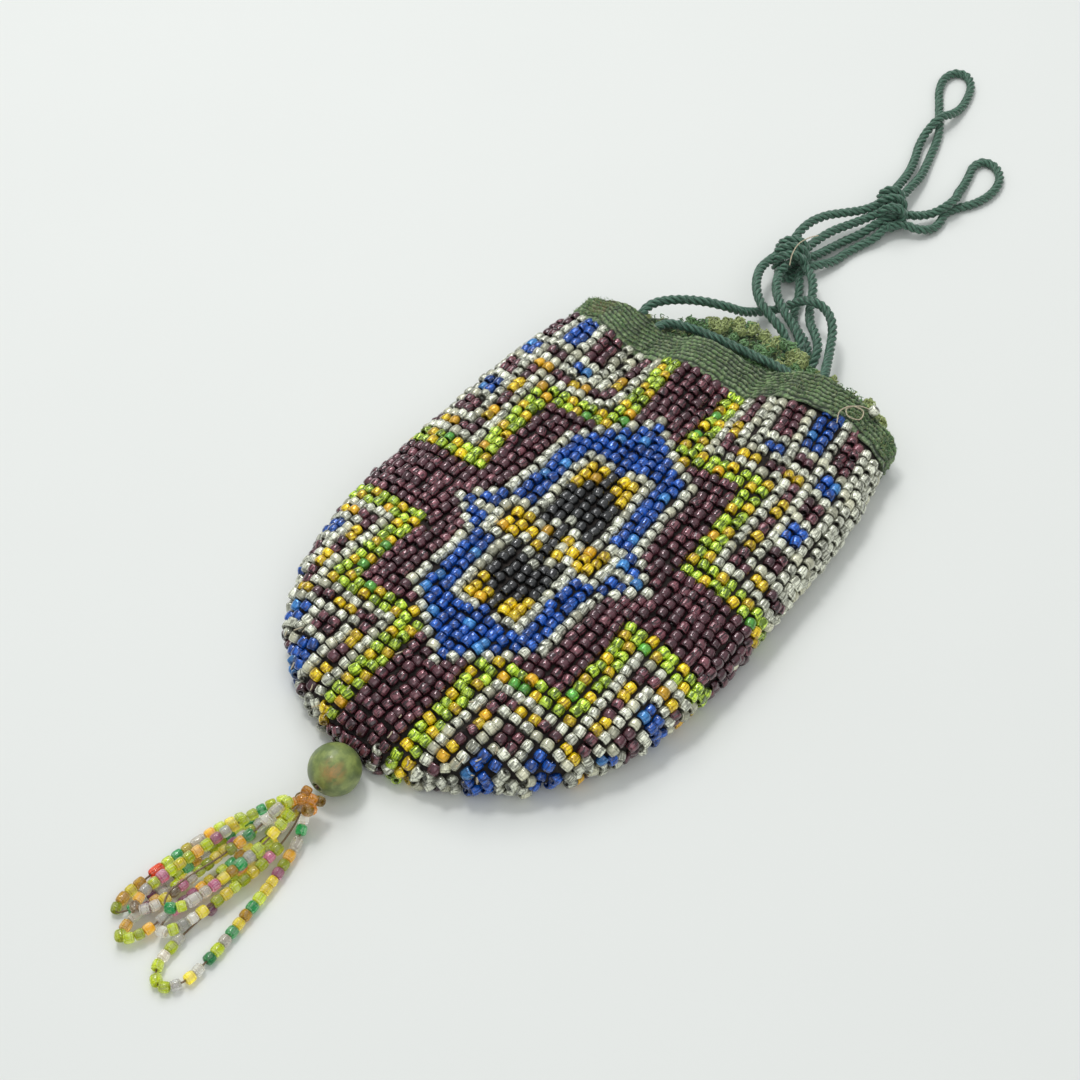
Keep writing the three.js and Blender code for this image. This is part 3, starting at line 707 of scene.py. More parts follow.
def fibres():
    """Fine threads that wind along a strand, with painted shade between them."""
    name = "Fibres"
    if name in bpy.data.node_groups:
        return bpy.data.node_groups[name]
    group, given, put = group_start(
        name, {"Deep": BLACK, "Body": BLACK, "Bright": WHITE, "Count": 9.0, "Wind": 3.0},
        {"Color": WHITE, "Height": 0.0},
    )
    place, tint = mark_of(group, "place", "Vector"), mark_of(group, "tint")
    parts = node(group, "ShaderNodeSeparateXYZ", {0: place}).outputs
    angle = math_of(group, "ARCTAN2", parts[1], parts[0])
    phase = math_of(group, "ADD", math_of(group, "MULTIPLY", angle, given.outputs["Count"]),
                    math_of(group, "MULTIPLY", parts[2], given.outputs["Wind"]))
    wave = math_of(group, "MULTIPLY_ADD", math_of(group, "SINE", phase), 0.5, 0.5)
    noise = node(group, "ShaderNodeTexNoise", {
        "Vector": place, "W": math_of(group, "MULTIPLY", tint, 7.0),
        "Scale": 2.3, "Detail": 3.0,
    }, noise_dimensions="4D").outputs[0]
    patch = spread_of(group, noise, 0.35, 0.68)
    glow = mixed(group, patch, given.outputs["Body"], given.outputs["Bright"])
    # Painted shade between the fibres, where the wave is low
    between = spread_of(group, wave, 0.45, 0.0, 0.0, 0.6)
    shade = mixed(group, between, glow, given.outputs["Deep"])
    group.links.new(shade, put.inputs["Color"])
    group.links.new(wave, put.inputs["Height"])
    return group


def mottle():
    """Soft patches over a surface, large ones with finer ones in them."""
    name = "Mottle"
    if name in bpy.data.node_groups:
        return bpy.data.node_groups[name]
    group, given, put = group_start(
        name, {"Scale": 100.0, "Low": 0.4, "High": 0.6}, {"Patches": 0.0})
    where = node(group, "ShaderNodeTexCoord").outputs["Object"]
    noise = node(group, "ShaderNodeTexNoise", {
        "Vector": where, "Scale": given.outputs["Scale"], "Detail": 4.0, "Roughness": 0.6,
    }).outputs[0]
    patches = spread_of(group, noise, given.outputs["Low"], given.outputs["High"])
    group.links.new(patches, put.inputs["Patches"])
    return group


def patches_of(tree, scale, low, high):
    return placed(tree, mottle(), Scale=scale, Low=low, High=high).outputs[0]


def distance_to(tree, where, spot):
    return node(tree, "ShaderNodeVectorMath", {0: where, 1: spot},
                operation="DISTANCE").outputs["Value"]


def finish(name, **shader):
    """A material with one main shader, and its plain values: Coat_Weight is Coat Weight."""
    made = bpy.data.materials.new(name)
    made.use_nodes = True
    tree = made.node_tree
    main = tree.nodes["Principled BSDF"]
    for key, value in shader.items():
        main.inputs[key.replace("_", " ")].default_value = value
    return made, tree, main


def placed(tree, group, **values):
    return node(tree, "ShaderNodeGroup", values, node_tree=group)


def bumped(tree, main, height, strength, distance):
    made = node(tree, "ShaderNodeBump", {
        "Height": height, "Strength": strength, "Distance": distance,
    })
    tree.links.new(made.outputs[0], main.inputs["Normal"])


def bead_finish(name, body, look):
    """Lined glass with painted highlight streaks, painted shade and a painted glow of emission,
    under a clear coat.
    """
    made, tree, main = finish(
        name, Roughness=0.2, Metallic=look.lining, Coat_Weight=1.0, Coat_Roughness=0.03,
        Emission_Strength=look.glow)
    glass = placed(
        tree, bead_glass(), Deep=full(body, 0.18), Body=full(body, 0.5), Streaks=1.0,
        Bright=full(look.bright), Other=full(look.other), Others=look.others)
    tint_all(tree, main, glass.outputs["Color"], "Emission Color")
    bumped(tree, main, glass.outputs["Height"], 0.45, 0.0003)
    return made


def fibre_finish(name, body, bright, count, wind, rough, sheen):
    """Twisted fibres: their number round a strand, and how far they wind."""
    made, tree, main = finish(
        name, Roughness=rough, Sheen_Weight=sheen, Sheen_Roughness=0.4)
    look = placed(tree, fibres(), Deep=full(body, 0.35), Body=full(body), Bright=full(bright),
                  Count=count, Wind=wind)
    tint_all(tree, main, look.outputs["Color"])
    bumped(tree, main, look.outputs["Height"], 0.6, 0.00012)
    return made


# Beadwork

def chart(column, row):
    """The colour of a bead, the same on the left and the right of the front."""
    c, r = abs(column), abs(row)
    lower = row < 0

    # The three middle rows of the medallion, then its frames and its dark centres
    if r == 0 and c <= 9:
        return ("black", "silver", "gold", "gold", "gold", "silver", "silver", "silver",
                "blue", "silver")[c]
    if r == 1 and c <= 8:
        return ("black", "gold", "silver", "gold", "gold", "silver", "blue", "blue", "silver")[c]
    if r == 2 and c <= 7:
        return ("black", "silver", "black", "silver", "silver", "silver", "blue", "silver")[c]
    edge = min(6, 17 - r)
    if 3 <= r <= 17 and c <= edge:
        if c == edge:
            return "silver"
        if r >= 11 or c in (4, 5):
            return "blue"
        if c == 3 or (r == 10 and c > 0):
            return "silver"
        if r == 10:
            return "blue"
        if (c == 2 and r in (7, 8, 9)) or (c == 1 and r in (8, 9)):
            return "gold"
        return "silver" if c == 0 and r == 3 else "black"

    # The purple cross and the steps of lime, silver and purple that edge it
    step = max(min(c - 3, r - 14), min(c - 10, r - 4))
    if step < 0:
        return "purple"
    if step < 2:
        return "gold" if (r - c) % 3 == 1 else "lime"
    if step == 2 or step == 4:
        return "silver"
    if step == 3:
        golden = (
            (c == 6 and (r in (19, 20) or (lower and r in (23, 24))))
            or (r == 17 and c in (8, 9, 12, 13)) or (c == 13 and r in (14, 13, 10, 9))
            or (r == 7 and c in (15, 16))
        )
        return "gold" if golden else "purple"

    # The squares in the four corners, other ones below than above
    if c >= 17:
        return "silver"
    if c >= 15:
        squares = (("purple", 9, 10), ("blue", 12, 13), ("purple", 15, 16), ("blue", 18, 19))
        for name, low, high in squares:
            if low <= r <= high:
                if lower:
                    name = "blue" if name == "purple" else "purple"
                return name
        return "purple" if r >= 21 else "silver"
    if c in (8, 14):
        if not (lower and c == 8):
            return "silver"
    if lower:
        if r in (18, 21) or c in (10, 13, 14) or r >= 25:
            return "silver"
        first, second = ("purple", "blue") if r < 21 else ("blue", "purple")
        return first if c in (8, 9) else second
    if r == 20 or c == 11:
        return "silver"
    if r == 19:
        return "blue" if c in (9, 10) else "purple"
    return "purple" if c in (9, 10) else "blue"


def row_share(row, settings):
    """A row's place along the middle column, as a share of the way to the seam."""
    y = MIDDLE_ROW_Y + settings.row_pitch * row
    y = y + ROW_SPREAD * ROW_EASE * math.log(math.cosh(row / ROW_EASE))
    return (y - TIP_Y) / (POUCH_LENGTH * MIDDLE_SEAM)


def row_line(row, front, settings):
    """Points along a row from the right side to the left, and the seam over each."""
    turn = np.linspace(0, math.pi, 1401) if front else np.linspace(2 * math.pi, math.pi, 1401)
    across, _, _ = round_shape(turn)
    facing = np.full(turn.shape, front)
    seam = seam_share(across, facing)
    middle = float(seam_share(np.zeros(1), np.full(1, front))[0])
    y = TIP_Y + POUCH_LENGTH * row_share(row, settings) * (middle + BEND_SHARE * (seam - middle))
    turn = turn - (0 if front else 1e-6)
    return pouch_point(turn, None, settings.depth, y)


def on_row(row, columns, front, settings):
    """Where the columns cross a row, the seam there, and which of them are on this side."""
    points, seam = row_line(row, front, settings)
    run = run_of(points)
    middle, left, right = (
        np.interp(row, COLUMN_PLACES[:, 0], COLUMN_PLACES[:, k]) for k in (1, 2, 3))
    start = np.interp(-middle, -points[:, 0], run)
    drift = COLUMN_DRIFT * (
        np.sin(0.43 * row + 0.9 * columns) + np.sin(0.19 * row - 0.37 * columns))
    at = start - np.where(columns < 0, left, right) * columns + drift
    inside = (at > EDGE_MARGIN * right) & (at < run[-1] - EDGE_MARGIN * left)
    return points_at(points, run, at), np.interp(at, run, seam), inside


def bead_places(settings):
    """Every bead of the pouch's rows, first those of the front."""
    beads = []
    columns = np.arange(-24, 25)
    for front in (True, False):
        for row in range(-LAST_ROW, LAST_ROW + 1):
            if row_share(row, settings) * POUCH_LENGTH < settings.depth * 0.9:
                continue
            middle, seam, inside = on_row(row, columns, front, settings)
            up, _, _ = on_row(row + 0.45, columns, front, settings)
            down, _, _ = on_row(row - 0.45, columns, front, settings)
            right, _, _ = on_row(row, columns + 0.4, front, settings)
            left, _, _ = on_row(row, columns - 0.4, front, settings)
            pitch = np.linalg.norm(up - down, axis=1) / 0.9
            below_seam = middle[:, 1] + 0.5 * pitch < seam + SEAM_OVERLAP
            fits = inside & below_seam & (pitch > SHORTEST_BEAD)
            axis, side = unit(up - down), unit(right - left)
            for i in np.nonzero(fits)[0]:
                outward = np.cross(side[i], axis[i]) * (1 if front else -1)
                name = chart(int(columns[i]), row)
                beads.append(Bead(middle[i], axis[i], side[i], min(pitch[i], LONGEST_BEAD),
                                  name, front, outward))
    return beads


def fill_places(settings, beads, chance):
    """Beads for the bare spots along the edges, where rows and columns run out."""
    held = KDTree(len(beads))
    for i, bead in enumerate(beads):
        held.insert(bead.middle, i)
    held.balance()
    added = []
    turns = np.linspace(0, 2 * math.pi, 1600, endpoint=False)
    for share in np.concatenate((np.linspace(0, 0.12, 40), np.linspace(0.125, 0.985, 190))):
        ring, seam = pouch_point(turns, np.full(turns.shape, share), settings.depth)
        closed = np.vstack((ring, ring[:1]))
        run = run_of(closed)
        at = np.arange(chance.random() * FILL_STEP, run[-1], FILL_STEP)
        spots = points_at(closed, run, at)
        heights = np.interp(at, run, np.append(seam, seam[0]))
        following = np.roll(spots, -1, axis=0)
        middle = ring.mean(axis=0)
        if share == 0:
            cap = [middle + (spots - middle) * k for k in (0.05, 0.4, 0.75)]
            spots = np.concatenate([spots] + cap)
            heights = np.tile(heights, 4)
            following = np.tile(following, (4, 1))
        for spot, height, ahead in zip(spots, heights, following):
            if spot[1] > height - FILL_FROM_SEAM:
                continue
            _, index, distance = held.find(spot)
            if distance < FILL_FROM_ROWS:
                continue
            if any(np.linalg.norm(spot - other.middle) < FILL_PITCH for other in added):
                continue
            side = unit(ahead - spot)
            core = np.array((middle[0], spot[1] + 0.004, SIDE_FOLD_HEIGHT))
            outward = unit(spot - core)
            axis = unit(np.cross(outward, side))
            lean = chance.normal(0, 0.5)
            axis = unit(axis * math.cos(lean) + side * math.sin(lean)
                        + outward * chance.normal(0, 0.3))
            side = unit(np.cross(axis, outward))
            name = beads[index].colour if chance.random() > 0.2 else "silver"
            front = spot[2] > SIDE_FOLD_HEIGHT
            added.append(Bead(spot, axis, side, FILL_PITCH, name, front, outward))
    return added


def turned(profile, sides):
    """A closed round shape from a profile of radius and place along."""
    angle = np.linspace(0, 2 * math.pi, sides, endpoint=False)
    points = np.stack((
        profile[:, 0, None] * np.cos(angle), profile[:, 0, None] * np.sin(angle),
        np.repeat(profile[:, 1, None], sides, 1),
    ), -1).reshape(-1, 3)
    return points, grid_faces(len(profile), sides, True, wrap_rows=True)


def bead_shape(hole):
    """A round seed bead of radius 1 and half length 1, with its hole."""
    lip = 0.5 * (1 + hole)
    profile = np.array((
        (hole, -0.90), (lip, -1.0), (0.90, -0.84), (1.0, -0.38),
        (1.0, 0.38), (0.90, 0.84), (lip, 1.0), (hole, 0.90),
    ))
    return turned(profile, BEAD_SIDES)


def bead_mesh(beads, width, hole, chance, tilt):
    """All the beads of one colour in one mesh."""
    shape, faces = bead_shape(hole / width)
    count = len(beads)
    middle, axis, side, pitch, outward = (
        np.array([getattr(bead, key) for bead in beads])
        for key in ("middle", "axis", "side", "pitch", "outward"))
    axis = unit(axis + chance.normal(0, tilt, (count, 3)))
    side = unit(side - axis * np.sum(side * axis, 1, keepdims=True))
    other = np.cross(axis, side)
    spin = chance.uniform(0, 2 * math.pi, count)
    first = side * np.cos(spin)[:, None] + other * np.sin(spin)[:, None]
    second = np.cross(axis, first)
    radius = width / 2 * chance.normal(1, 0.05, count)
    half = pitch / 2 * chance.normal(0.96, 0.05, count)
    middle = middle + chance.normal(0, 0.00015, (count, 3))
    points = (
        middle[:, None]
        + first[:, None] * (radius[:, None] * shape[None, :, 0])[..., None]
        + second[:, None] * (radius[:, None] * shape[None, :, 1])[..., None]
        + axis[:, None] * (half[:, None] * shape[None, :, 2])[..., None]
    ).reshape(-1, 3)
    first_points = np.arange(count) * len(shape)
    all_faces = (faces[None] + first_points[:, None, None]).reshape(-1, 4)
    middle, outward = (np.repeat(values, len(shape), 0) for values in (middle, outward))
    marks = {
        "place": np.tile(shape, (count, 1)),
        "tint": np.repeat(chance.random(count), len(shape)),
        # rise is a point's height over its bead's middle; the glass turns its low part into
        # painted shade
        "rise": np.sum((points - middle) * outward, 1) / (width / 2),
    }
    return points, all_faces, marks


class PURSE_OT_camera(Operator):
    """Sets the camera where the purse was seen from"""
    bl_idname = "purse.camera"
    bl_label = "Camera"

    def execute(self, context):
        data = bpy.data.cameras.new("camera")
        data.lens = CAMERA_LENS
        data.sensor_width = SENSOR_WIDTH
        data.clip_start = 0.01
        camera = bpy.data.objects.new("camera", data)
        camera.location = CAMERA_PLACE
        camera.rotation_euler = Euler((
            math.radians(CAMERA_TILT), 0, math.radians(CAMERA_TURN)))
        context.scene.collection.objects.link(camera)
        context.scene.camera = camera
        return {"FINISHED"}


def cord_finish(context):
    green = list(context.scene.purse_cord.green)
    worn = [v * 2.2 + 0.02 for v in green]
    return fibre_finish("bottle_green_cord", green, worn, 3.0, 4.2, 0.5, 0.3)


def knot_wraps(name, settings):
    """A line that winds round a knot's long axis."""
    centre, half, turn, wraps = KNOTS[name]
    centre = np.array(centre)
    radius = settings.diameter / 2
    turn = math.radians(turn)
    axis = np.array((-math.sin(turn), math.cos(turn), 0))
    aside = np.array((math.cos(turn), math.sin(turn), 0))
    share = np.linspace(-1, 1, int(wraps * POINTS_PER_WRAP))
    angle = share * math.pi * wraps + 0.6
    along = share * (half[0] - 1.7 * radius)
    swell = np.sqrt(np.clip(1 - (along / (half[0] + radius)) ** 2, 0.1, 1))
    ease = 1 - 0.35 * np.abs(share) ** 6
    wide = (half[1] - radius) * swell * ease
    tall = (half[2] - radius) * swell * ease
    slant = 0.25 * np.cos(angle) * radius * 2  # each turn leans a little
    return (
        centre + axis * (along + slant)[:, None] + aside * (wide * np.cos(angle))[:, None]
        + np.array((0, 0, 1)) * (tall * np.sin(angle))[:, None]
    )


class PURSE_OT_cords(Operator):
    """Twists the drawcords along their routes and wraps their two knots"""
    bl_idname = "purse.cords"
    bl_label = "Cords and Knots"

    def execute(self, context):
        settings = context.scene.purse_cord
        green = cord_finish(context)
        for name in KNOTS:
            _, (points, faces, marks) = rope(knot_wraps(name, settings), settings)
            knot = piece(f"{name}_wraps", points, faces, marks, green, "cord")
            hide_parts(name)
        for name, route in ROUTES.items():
            line, (points, faces, marks) = rope(route, settings)
            cord = piece(f"{name}_twist", points, faces, marks, green, "cord")
            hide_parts(*CORD_NODES[name])
        return {"FINISHED"}


class PURSE_OT_pouch_cloth(Operator):
    """Makes the dark ground that the beads are worked on"""
    bl_idname = "purse.pouch_cloth"
    bl_label = "Pouch Cloth"

    def execute(self, context):
        settings = context.scene.purse_beadwork
        turns = np.linspace(0, 2 * math.pi, CLOTH_AROUND, endpoint=False) + 1e-4
        shares = np.concatenate((np.linspace(0, 0.1, 12), np.linspace(0.12, 1, 45)))
        rings = []
        for inset in CLOTH_INSETS:
            layer = [pouch_point(turns, np.full(turns.shape, share), inset)[0]
                     for share in shares]
            middle = layer[0].mean(axis=0)
            layer = [middle + (layer[0] - middle) * k for k in (0.02, 0.5)] + layer
            rings += layer[::-1] if rings else layer
        faces = grid_faces(len(rings), len(turns), True)[:, ::-1]
        made, tree, main = finish("ground_thread", Roughness=0.95)
        patches = patches_of(tree, 900.0, 0.38, 0.66)
        tint_all(tree, main, mixed(
            tree, patches, full(settings.ground, 0.5), full(settings.ground, 2.2)))
        bumped(tree, main, patches, 0.8, 0.0003)
        cloth = piece("pouch_cloth", np.concatenate(rings), faces, {}, made, "seed_beads")
        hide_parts("beaded_bag")
        return {"FINISHED"}


class PURSE_OT_beadwork(Operator):
    """Lays the seed beads of the pouch, row by row, from the chart"""
    bl_idname = "purse.beadwork"
    bl_label = "Beadwork"

    def execute(self, context):
        settings = context.scene.purse_beadwork
        chance = np.random.default_rng(SEED)
        beads = bead_places(settings)
        beads += fill_places(settings, beads, chance)
        for front in (True, False):
            side = "front" if front else "back"
            for name, look in LOOKS.items():
                chosen = [b for b in beads if b.colour == name and b.front == front]
                if not chosen:
                    continue
                label = f"{name}_glass"
                made = (bpy.data.materials.get(label)
                        or bead_finish(label, list(getattr(settings, name)), look))
                points, faces, marks = bead_mesh(
                    chosen, settings.bead_width, settings.bead_hole, chance, settings.tilt)
                above_floor(points)
                mesh = piece(f"{name}_beads_{side}", points, faces, marks, made, "seed_beads")
                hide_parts("beaded_bag")
        return {"FINISHED"}


# The band: points round it, rows of them up its outside, and how uneven it is
BAND_AROUND = 900
BAND_ROWS = 52
EDGE_ROUGHNESS = 0.00022
GATHER_DEPTH = 0.00022
# Depth of the weave's ground in the outline
RELIEF_GROUND = 0.0002
# The middle of the mouth, seen along the band, which the weave turns away from
BAND_CORE = (-0.0013, 0, 0.0055)
STAIN_PLACE = (-0.0316, 0.0586, 0.009)
FADED_RIB = (0.46, 0.53, 0.33)


def weave(place, share, tall, settings):
    """How far the weave stands out along one row of points, and the gathers under it."""
    rib = (
        share * tall / settings.rib_pitch + 0.4
        + 0.22 * np.sin(place * 410) + 0.12 * np.sin(place * 1270 + 2)
    )
    row = np.floor(rib)
    wander = 0.5 * np.sin(place * 2100 + 3 * row) + 0.45 * np.sin(place * 930 + 5 * row)
    ribs = np.abs(np.sin(math.pi * rib)) ** 1.3
    stitch = np.abs(np.sin(math.pi * (place / settings.stitch + 0.5 * (row % 2)) + wander))
    uneven = 1 + 0.35 * np.sin(place * 3300 + 7 * row) * np.sin(place * 760 + 2 * row)
    relief = settings.relief * ribs * (0.3 + 0.7 * stitch ** 0.9) * uneven - RELIEF_GROUND
    gather = GATHER_DEPTH * np.sin(place * 830 + 2 * np.sin(place * 210)) * (1 - 0.5 * share)
    return relief, gather


def band_rows(settings):
    """Rows of points up the band's outside, over its edge and down inside, and their relief."""
    dense = np.linspace(0, 2 * math.pi, 6001) + 1e-5
    run = run_of(band_point(dense, 0.5, 0.0)[0])
    place = np.linspace(0, run[-1], BAND_AROUND, endpoint=False)
    turns = np.interp(place, run, dense)
    chance = np.random.default_rng(SEED + 1)
    rough_edge = np.interp(
        place, np.linspace(0, run[-1], 90), chance.normal(0, EDGE_ROUGHNESS, 90))
    rows, heights = [], []
    for share in np.linspace(0, 1, BAND_ROWS):
        points, tall = band_point(turns, share, 0.0)
        ahead, _ = band_point(turns + 1e-3, share, 0.0)
        above, _ = band_point(turns, min(1, share + 0.02), 0.0)
        below, _ = band_point(turns, max(0, share - 0.02), 0.0)
        out = unit(np.cross(above - below, ahead - points))
        outward = points - np.array(BAND_CORE)
        outward[:, 1] = 0
        out = out * np.sign(np.sum(out * outward, 1, keepdims=True) + 1e-9)
        relief, gather = weave(place, share, tall, settings)
        lap = (1 - share) ** 10
        points = points + out * (relief + gather + 0.0001 * lap)[:, None]
        points[:, 1] += rough_edge * share ** 6 - 0.0011 * lap
        rows.append(points)
        heights.append((relief + RELIEF_GROUND) / settings.relief)
    # The edge and the inner face get fixed relief marks, which the finish turns into painted
    # shade, deeper inside
    for inset, lift in ((0.0005, 0.0004), (0.0010, 0.0004), (0.0015, 0.0)):
        points, _ = band_point(turns, 1.0, inset)
        points[:, 1] += lift + rough_edge
        rows.append(points)
        heights.append(np.full(BAND_AROUND, 0.6))
    for share in np.linspace(1, 0, 12):
        points, _ = band_point(turns, share, settings.wall)
        rows.append(points)
        heights.append(np.full(BAND_AROUND, 0.3))
    return rows, heights


def band_finish(settings):
    """Mottled green cloth, pale where it is worn, with painted shade between its ribs and inside
    the band, and with one stain.
    """
    made, tree, main = finish(
        "woven_band", Roughness=0.95, Sheen_Weight=0.25, Sheen_Roughness=0.5)
    cloth = settings.cloth
    relief = mark_of(tree, "relief")
    patches = patches_of(tree, 260.0, 0.38, 0.64)
    fine = patches_of(tree, 1700.0, 0.42, 0.68)
    base = mixed(tree, patches, full(cloth, 0.42),
                 full((cloth[0] * 1.95, cloth[1] * 1.7, cloth[2] * 1.6)))
    worn = mixed(tree, math_of(tree, "MULTIPLY", fine, 0.75), base, full(FADED_RIB))
    # Painted shade: darker where the relief mark is low, between the ribs and on the inner face
    between = spread_of(tree, relief, 0.8, 0.1, 0.0, 0.96)
    shade = mixed(tree, between, worn, full(cloth, 0.10))
    where = node(tree, "ShaderNodeTexCoord").outputs["Object"]
    near_stain = spread_of(tree, distance_to(tree, where, STAIN_PLACE), 0.0042, 0.0005)
    stain = math_of(tree, "MULTIPLY", math_of(tree, "MULTIPLY", near_stain, patches), 0.9)
    tint_all(tree, main, mixed(tree, stain, shade, full(settings.stain)))
    bumped(tree, main, fine, 0.7, 0.00018)
    return made


class PURSE_OT_band(Operator):
    """Weaves the green band round the mouth"""
    bl_idname = "purse.band"
    bl_label = "Band"

    def execute(self, context):
        settings = context.scene.purse_band
        rows, heights = band_rows(settings)
        points = above_floor(np.concatenate(rows))
        faces = grid_faces(len(rows), BAND_AROUND, True, wrap_rows=True)[:, ::-1]
        marks = {"relief": np.concatenate(heights)}
        band = piece("woven_band", points, faces, marks, band_finish(settings), "band_cloth")
        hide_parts("mouth_band")
        return {"FINISHED"}


# Tufts of frayed thread on the band's back edge: place across, spread and share of all
TUFTS = (
    (-0.70, 0.05, 0.06), (-0.42, 0.06, 0.10), (-0.22, 0.08, 0.22), (-0.02, 0.07, 0.20),
    (0.10, 0.06, 0.14), (0.28, 0.06, 0.10), (0.45, 0.05, 0.10), (0.62, 0.04, 0.08),
)

# Knops of looped thread: place across, spread, count, lowest and highest place as shares of
# the band's height, and share of pale ones
KNOPS = (
    (-0.72, 0.02, 2, 0.85, 1.05, 0.2), (-0.42, 0.03, 4, 0.85, 1.1, 0.7),
    (-0.25, 0.06, 8, 0.85, 1.1, 0.75), (-0.05, 0.10, 14, 0.35, 0.9, 0.08),
    (0.02, 0.05, 8, 0.9, 1.15, 0.6), (0.18, 0.06, 8, 0.85, 1.15, 0.7),
    (0.15, 0.12, 12, 0.35, 0.9, 0.06), (0.34, 0.05, 6, 0.8, 1.1, 0.35),
    (0.74, 0.04, 9, 0.85, 1.15, 0.8), (0.88, 0.02, 3, 0.8, 1.1, 0.5),
)
KNOP_LOOPS = 30
LOOP_POINTS = 7
CORE_POINTS = 6
# Knops and fuzz stand on the inner face of the band's back, this deep under its outline
KNOP_DEPTH = 0.0017
FUZZ_DEPTH = 0.0018


def curl(root, heading, reach, swirl, width, steps, chance):
    """One frayed thread: it grows out of its root and curls."""
    start = chance.uniform(0, 2 * math.pi)
    side = unit(np.cross(heading, (0.2, 0.1, 1)))
    lift = np.cross(heading, side)
    t = np.linspace(0, 1, steps)
    spin = start + t * chance.uniform(3.0, 8.5)
    line = (
        root + heading * (reach * t * (1.25 - 0.6 * t))[:, None]
        + side * (swirl * t ** 0.5 * (np.cos(spin) - math.cos(start)))[:, None]
        + lift * (swirl * t ** 0.5 * (np.sin(spin) - math.sin(start)))[:, None]
    )
    above_floor(line, 0.0003)
    return strand(line, width * (1.1 - 0.75 * t), 3, tint=chance.random())


def knop(centre, size, width, chance):
    """A knop of looped thread: the loops stand out all round it."""
    threads = []
    for _ in range(KNOP_LOOPS):
        out = unit(chance.normal(0, 1, 3) + np.array((0, 0, 0.6)))
        side = unit(np.cross(out, chance.normal(0, 1, 3)))
        lift = unit(np.cross(out, side) + 0.8 * out)
        t = chance.uniform(0, 2 * math.pi) + np.linspace(0, chance.uniform(3.5, 6.2), LOOP_POINTS)
        ring = size * chance.uniform(0.22, 0.45)
        line = centre + out * size * chance.uniform(0.45, 0.9) + ring * (
            np.cos(t)[:, None] * side + np.sin(t)[:, None] * lift)
        above_floor(line, 0.0002)
        threads.append(strand(line, np.full(LOOP_POINTS, width), 3, tint=chance.random()))
    core = centre + np.linspace(-0.6, 0.6, CORE_POINTS)[:, None] * size * np.array((0, 0, 1.0))
    above_floor(core, size * 0.5)
    swell = np.sqrt(1 - np.linspace(-0.9, 0.9, CORE_POINTS) ** 2)
    threads.append(strand(core, size * 0.8 * swell, 8, tint=0.8))
    return threads


def back_root(across, share, inset):
    """A place on the band's back."""
    turn = 2 * math.pi - math.acos(math.copysign(abs(across) ** (BACK_ROUND / 2), across))
    return band_point(np.array([turn]), share, inset)[0][0]


def heap_for(heaps, pale_share, chance):
    """The threads that the next one goes to: pale ones come up for a share."""
    return heaps["pale_fray"] if chance.random() < pale_share else heaps["green_fray"]


def edge_tufts(count, heaps, chance):
    """The longer threads, which curl out of the upper edge."""
    for place, spread, share in TUFTS:
        for _ in range(int(count * share)):
            across = float(np.clip(chance.normal(place, spread), -0.9, 0.9))
            root = back_root(across, 1.0 - chance.random() * 0.15, 0.0012 * chance.random())
            root = root + np.array((0, -0.0004, 0.0004))
            heading = unit(np.array((
                chance.normal(0, 0.6), 0.6 + chance.random(), 0.9 + chance.normal(0, 0.5))))
            heap_for(heaps, 0.42, chance).append(curl(
                root, heading, 0.0012 + 0.0018 * chance.random(),
                0.0003 + 0.0004 * chance.random(), 0.00021, 8, chance))


def edge_knops(heaps, chance):
    """The knops along the upper edge and the inner face under it."""
    for place, spread, count, low, high, pale_share in KNOPS:
        for _ in range(count):
            across = float(np.clip(chance.normal(place, spread), -0.9, 0.93))
            share = chance.uniform(low, high)
            root = back_root(across, min(1.0, share), KNOP_DEPTH)
            beyond = max(0.0, share - 1) * 0.009
            centre = root + np.array((0, beyond, 0.0004 + 0.0006 * chance.random()))
            heap_for(heaps, pale_share, chance).extend(
                knop(centre, chance.uniform(0.0011, 0.0018), 0.00018, chance))


def band_fuzz(count, heaps, chance):
    """Short fibres, half as many on the inner face of the back as on the outside."""
    for _ in range(count // 2):
        across = chance.uniform(-0.85, 0.85)
        root = back_root(across, chance.uniform(0.3, 1.0), FUZZ_DEPTH)
        heading = unit(np.array((chance.normal(0, 0.7), chance.normal(0.3, 0.5), 1.0)))
        heap_for(heaps, 0.18, chance).append(curl(
            root, heading, 0.0008 + 0.0010 * chance.random(), 0.0004, 0.00015, 6, chance))
    for _ in range(count):
        turn = chance.uniform(0.12, math.pi - 0.12)
        root = band_point(np.array([turn]), chance.uniform(0.03, 1.0), 0.0)[0][0]
        heading = unit(np.array((chance.normal(0, 0.8), chance.normal(0.1, 0.8), 0.7)))
        heap_for(heaps, 0.3, chance).append(curl(
            root, heading, 0.0004 + 0.0009 * chance.random(), 0.0002, 0.00006, 4, chance))


class PURSE_OT_fray(Operator):
    """Adds the frayed, curly threads of the band's upper edge and its fuzz"""
    bl_idname = "purse.fray"
    bl_label = "Frayed Edge"

    def execute(self, context):
        settings = context.scene.purse_band
        chance = np.random.default_rng(SEED + 2)
        heaps = {"green_fray": [], "pale_fray": []}
        edge_tufts(settings.tufts, heaps, chance)
        edge_knops(heaps, chance)
        band_fuzz(settings.fuzz, heaps, chance)
        looks = {
            "green_fray": (full(settings.cloth, 1.25), full(settings.cloth, 2.3)),
            "pale_fray": (full(settings.fray, 1.3), full(settings.fray, 2.2)),
        }
        for name, threads in heaps.items():
            points, faces, marks = joined(threads)
            made = fibre_finish(name, *looks[name], 1.0, 2.0, 0.95, 0.4)
            edge = piece(name, points, faces, marks, made, "band_cloth")
            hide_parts("mouth_band")
        return {"FINISHED"}


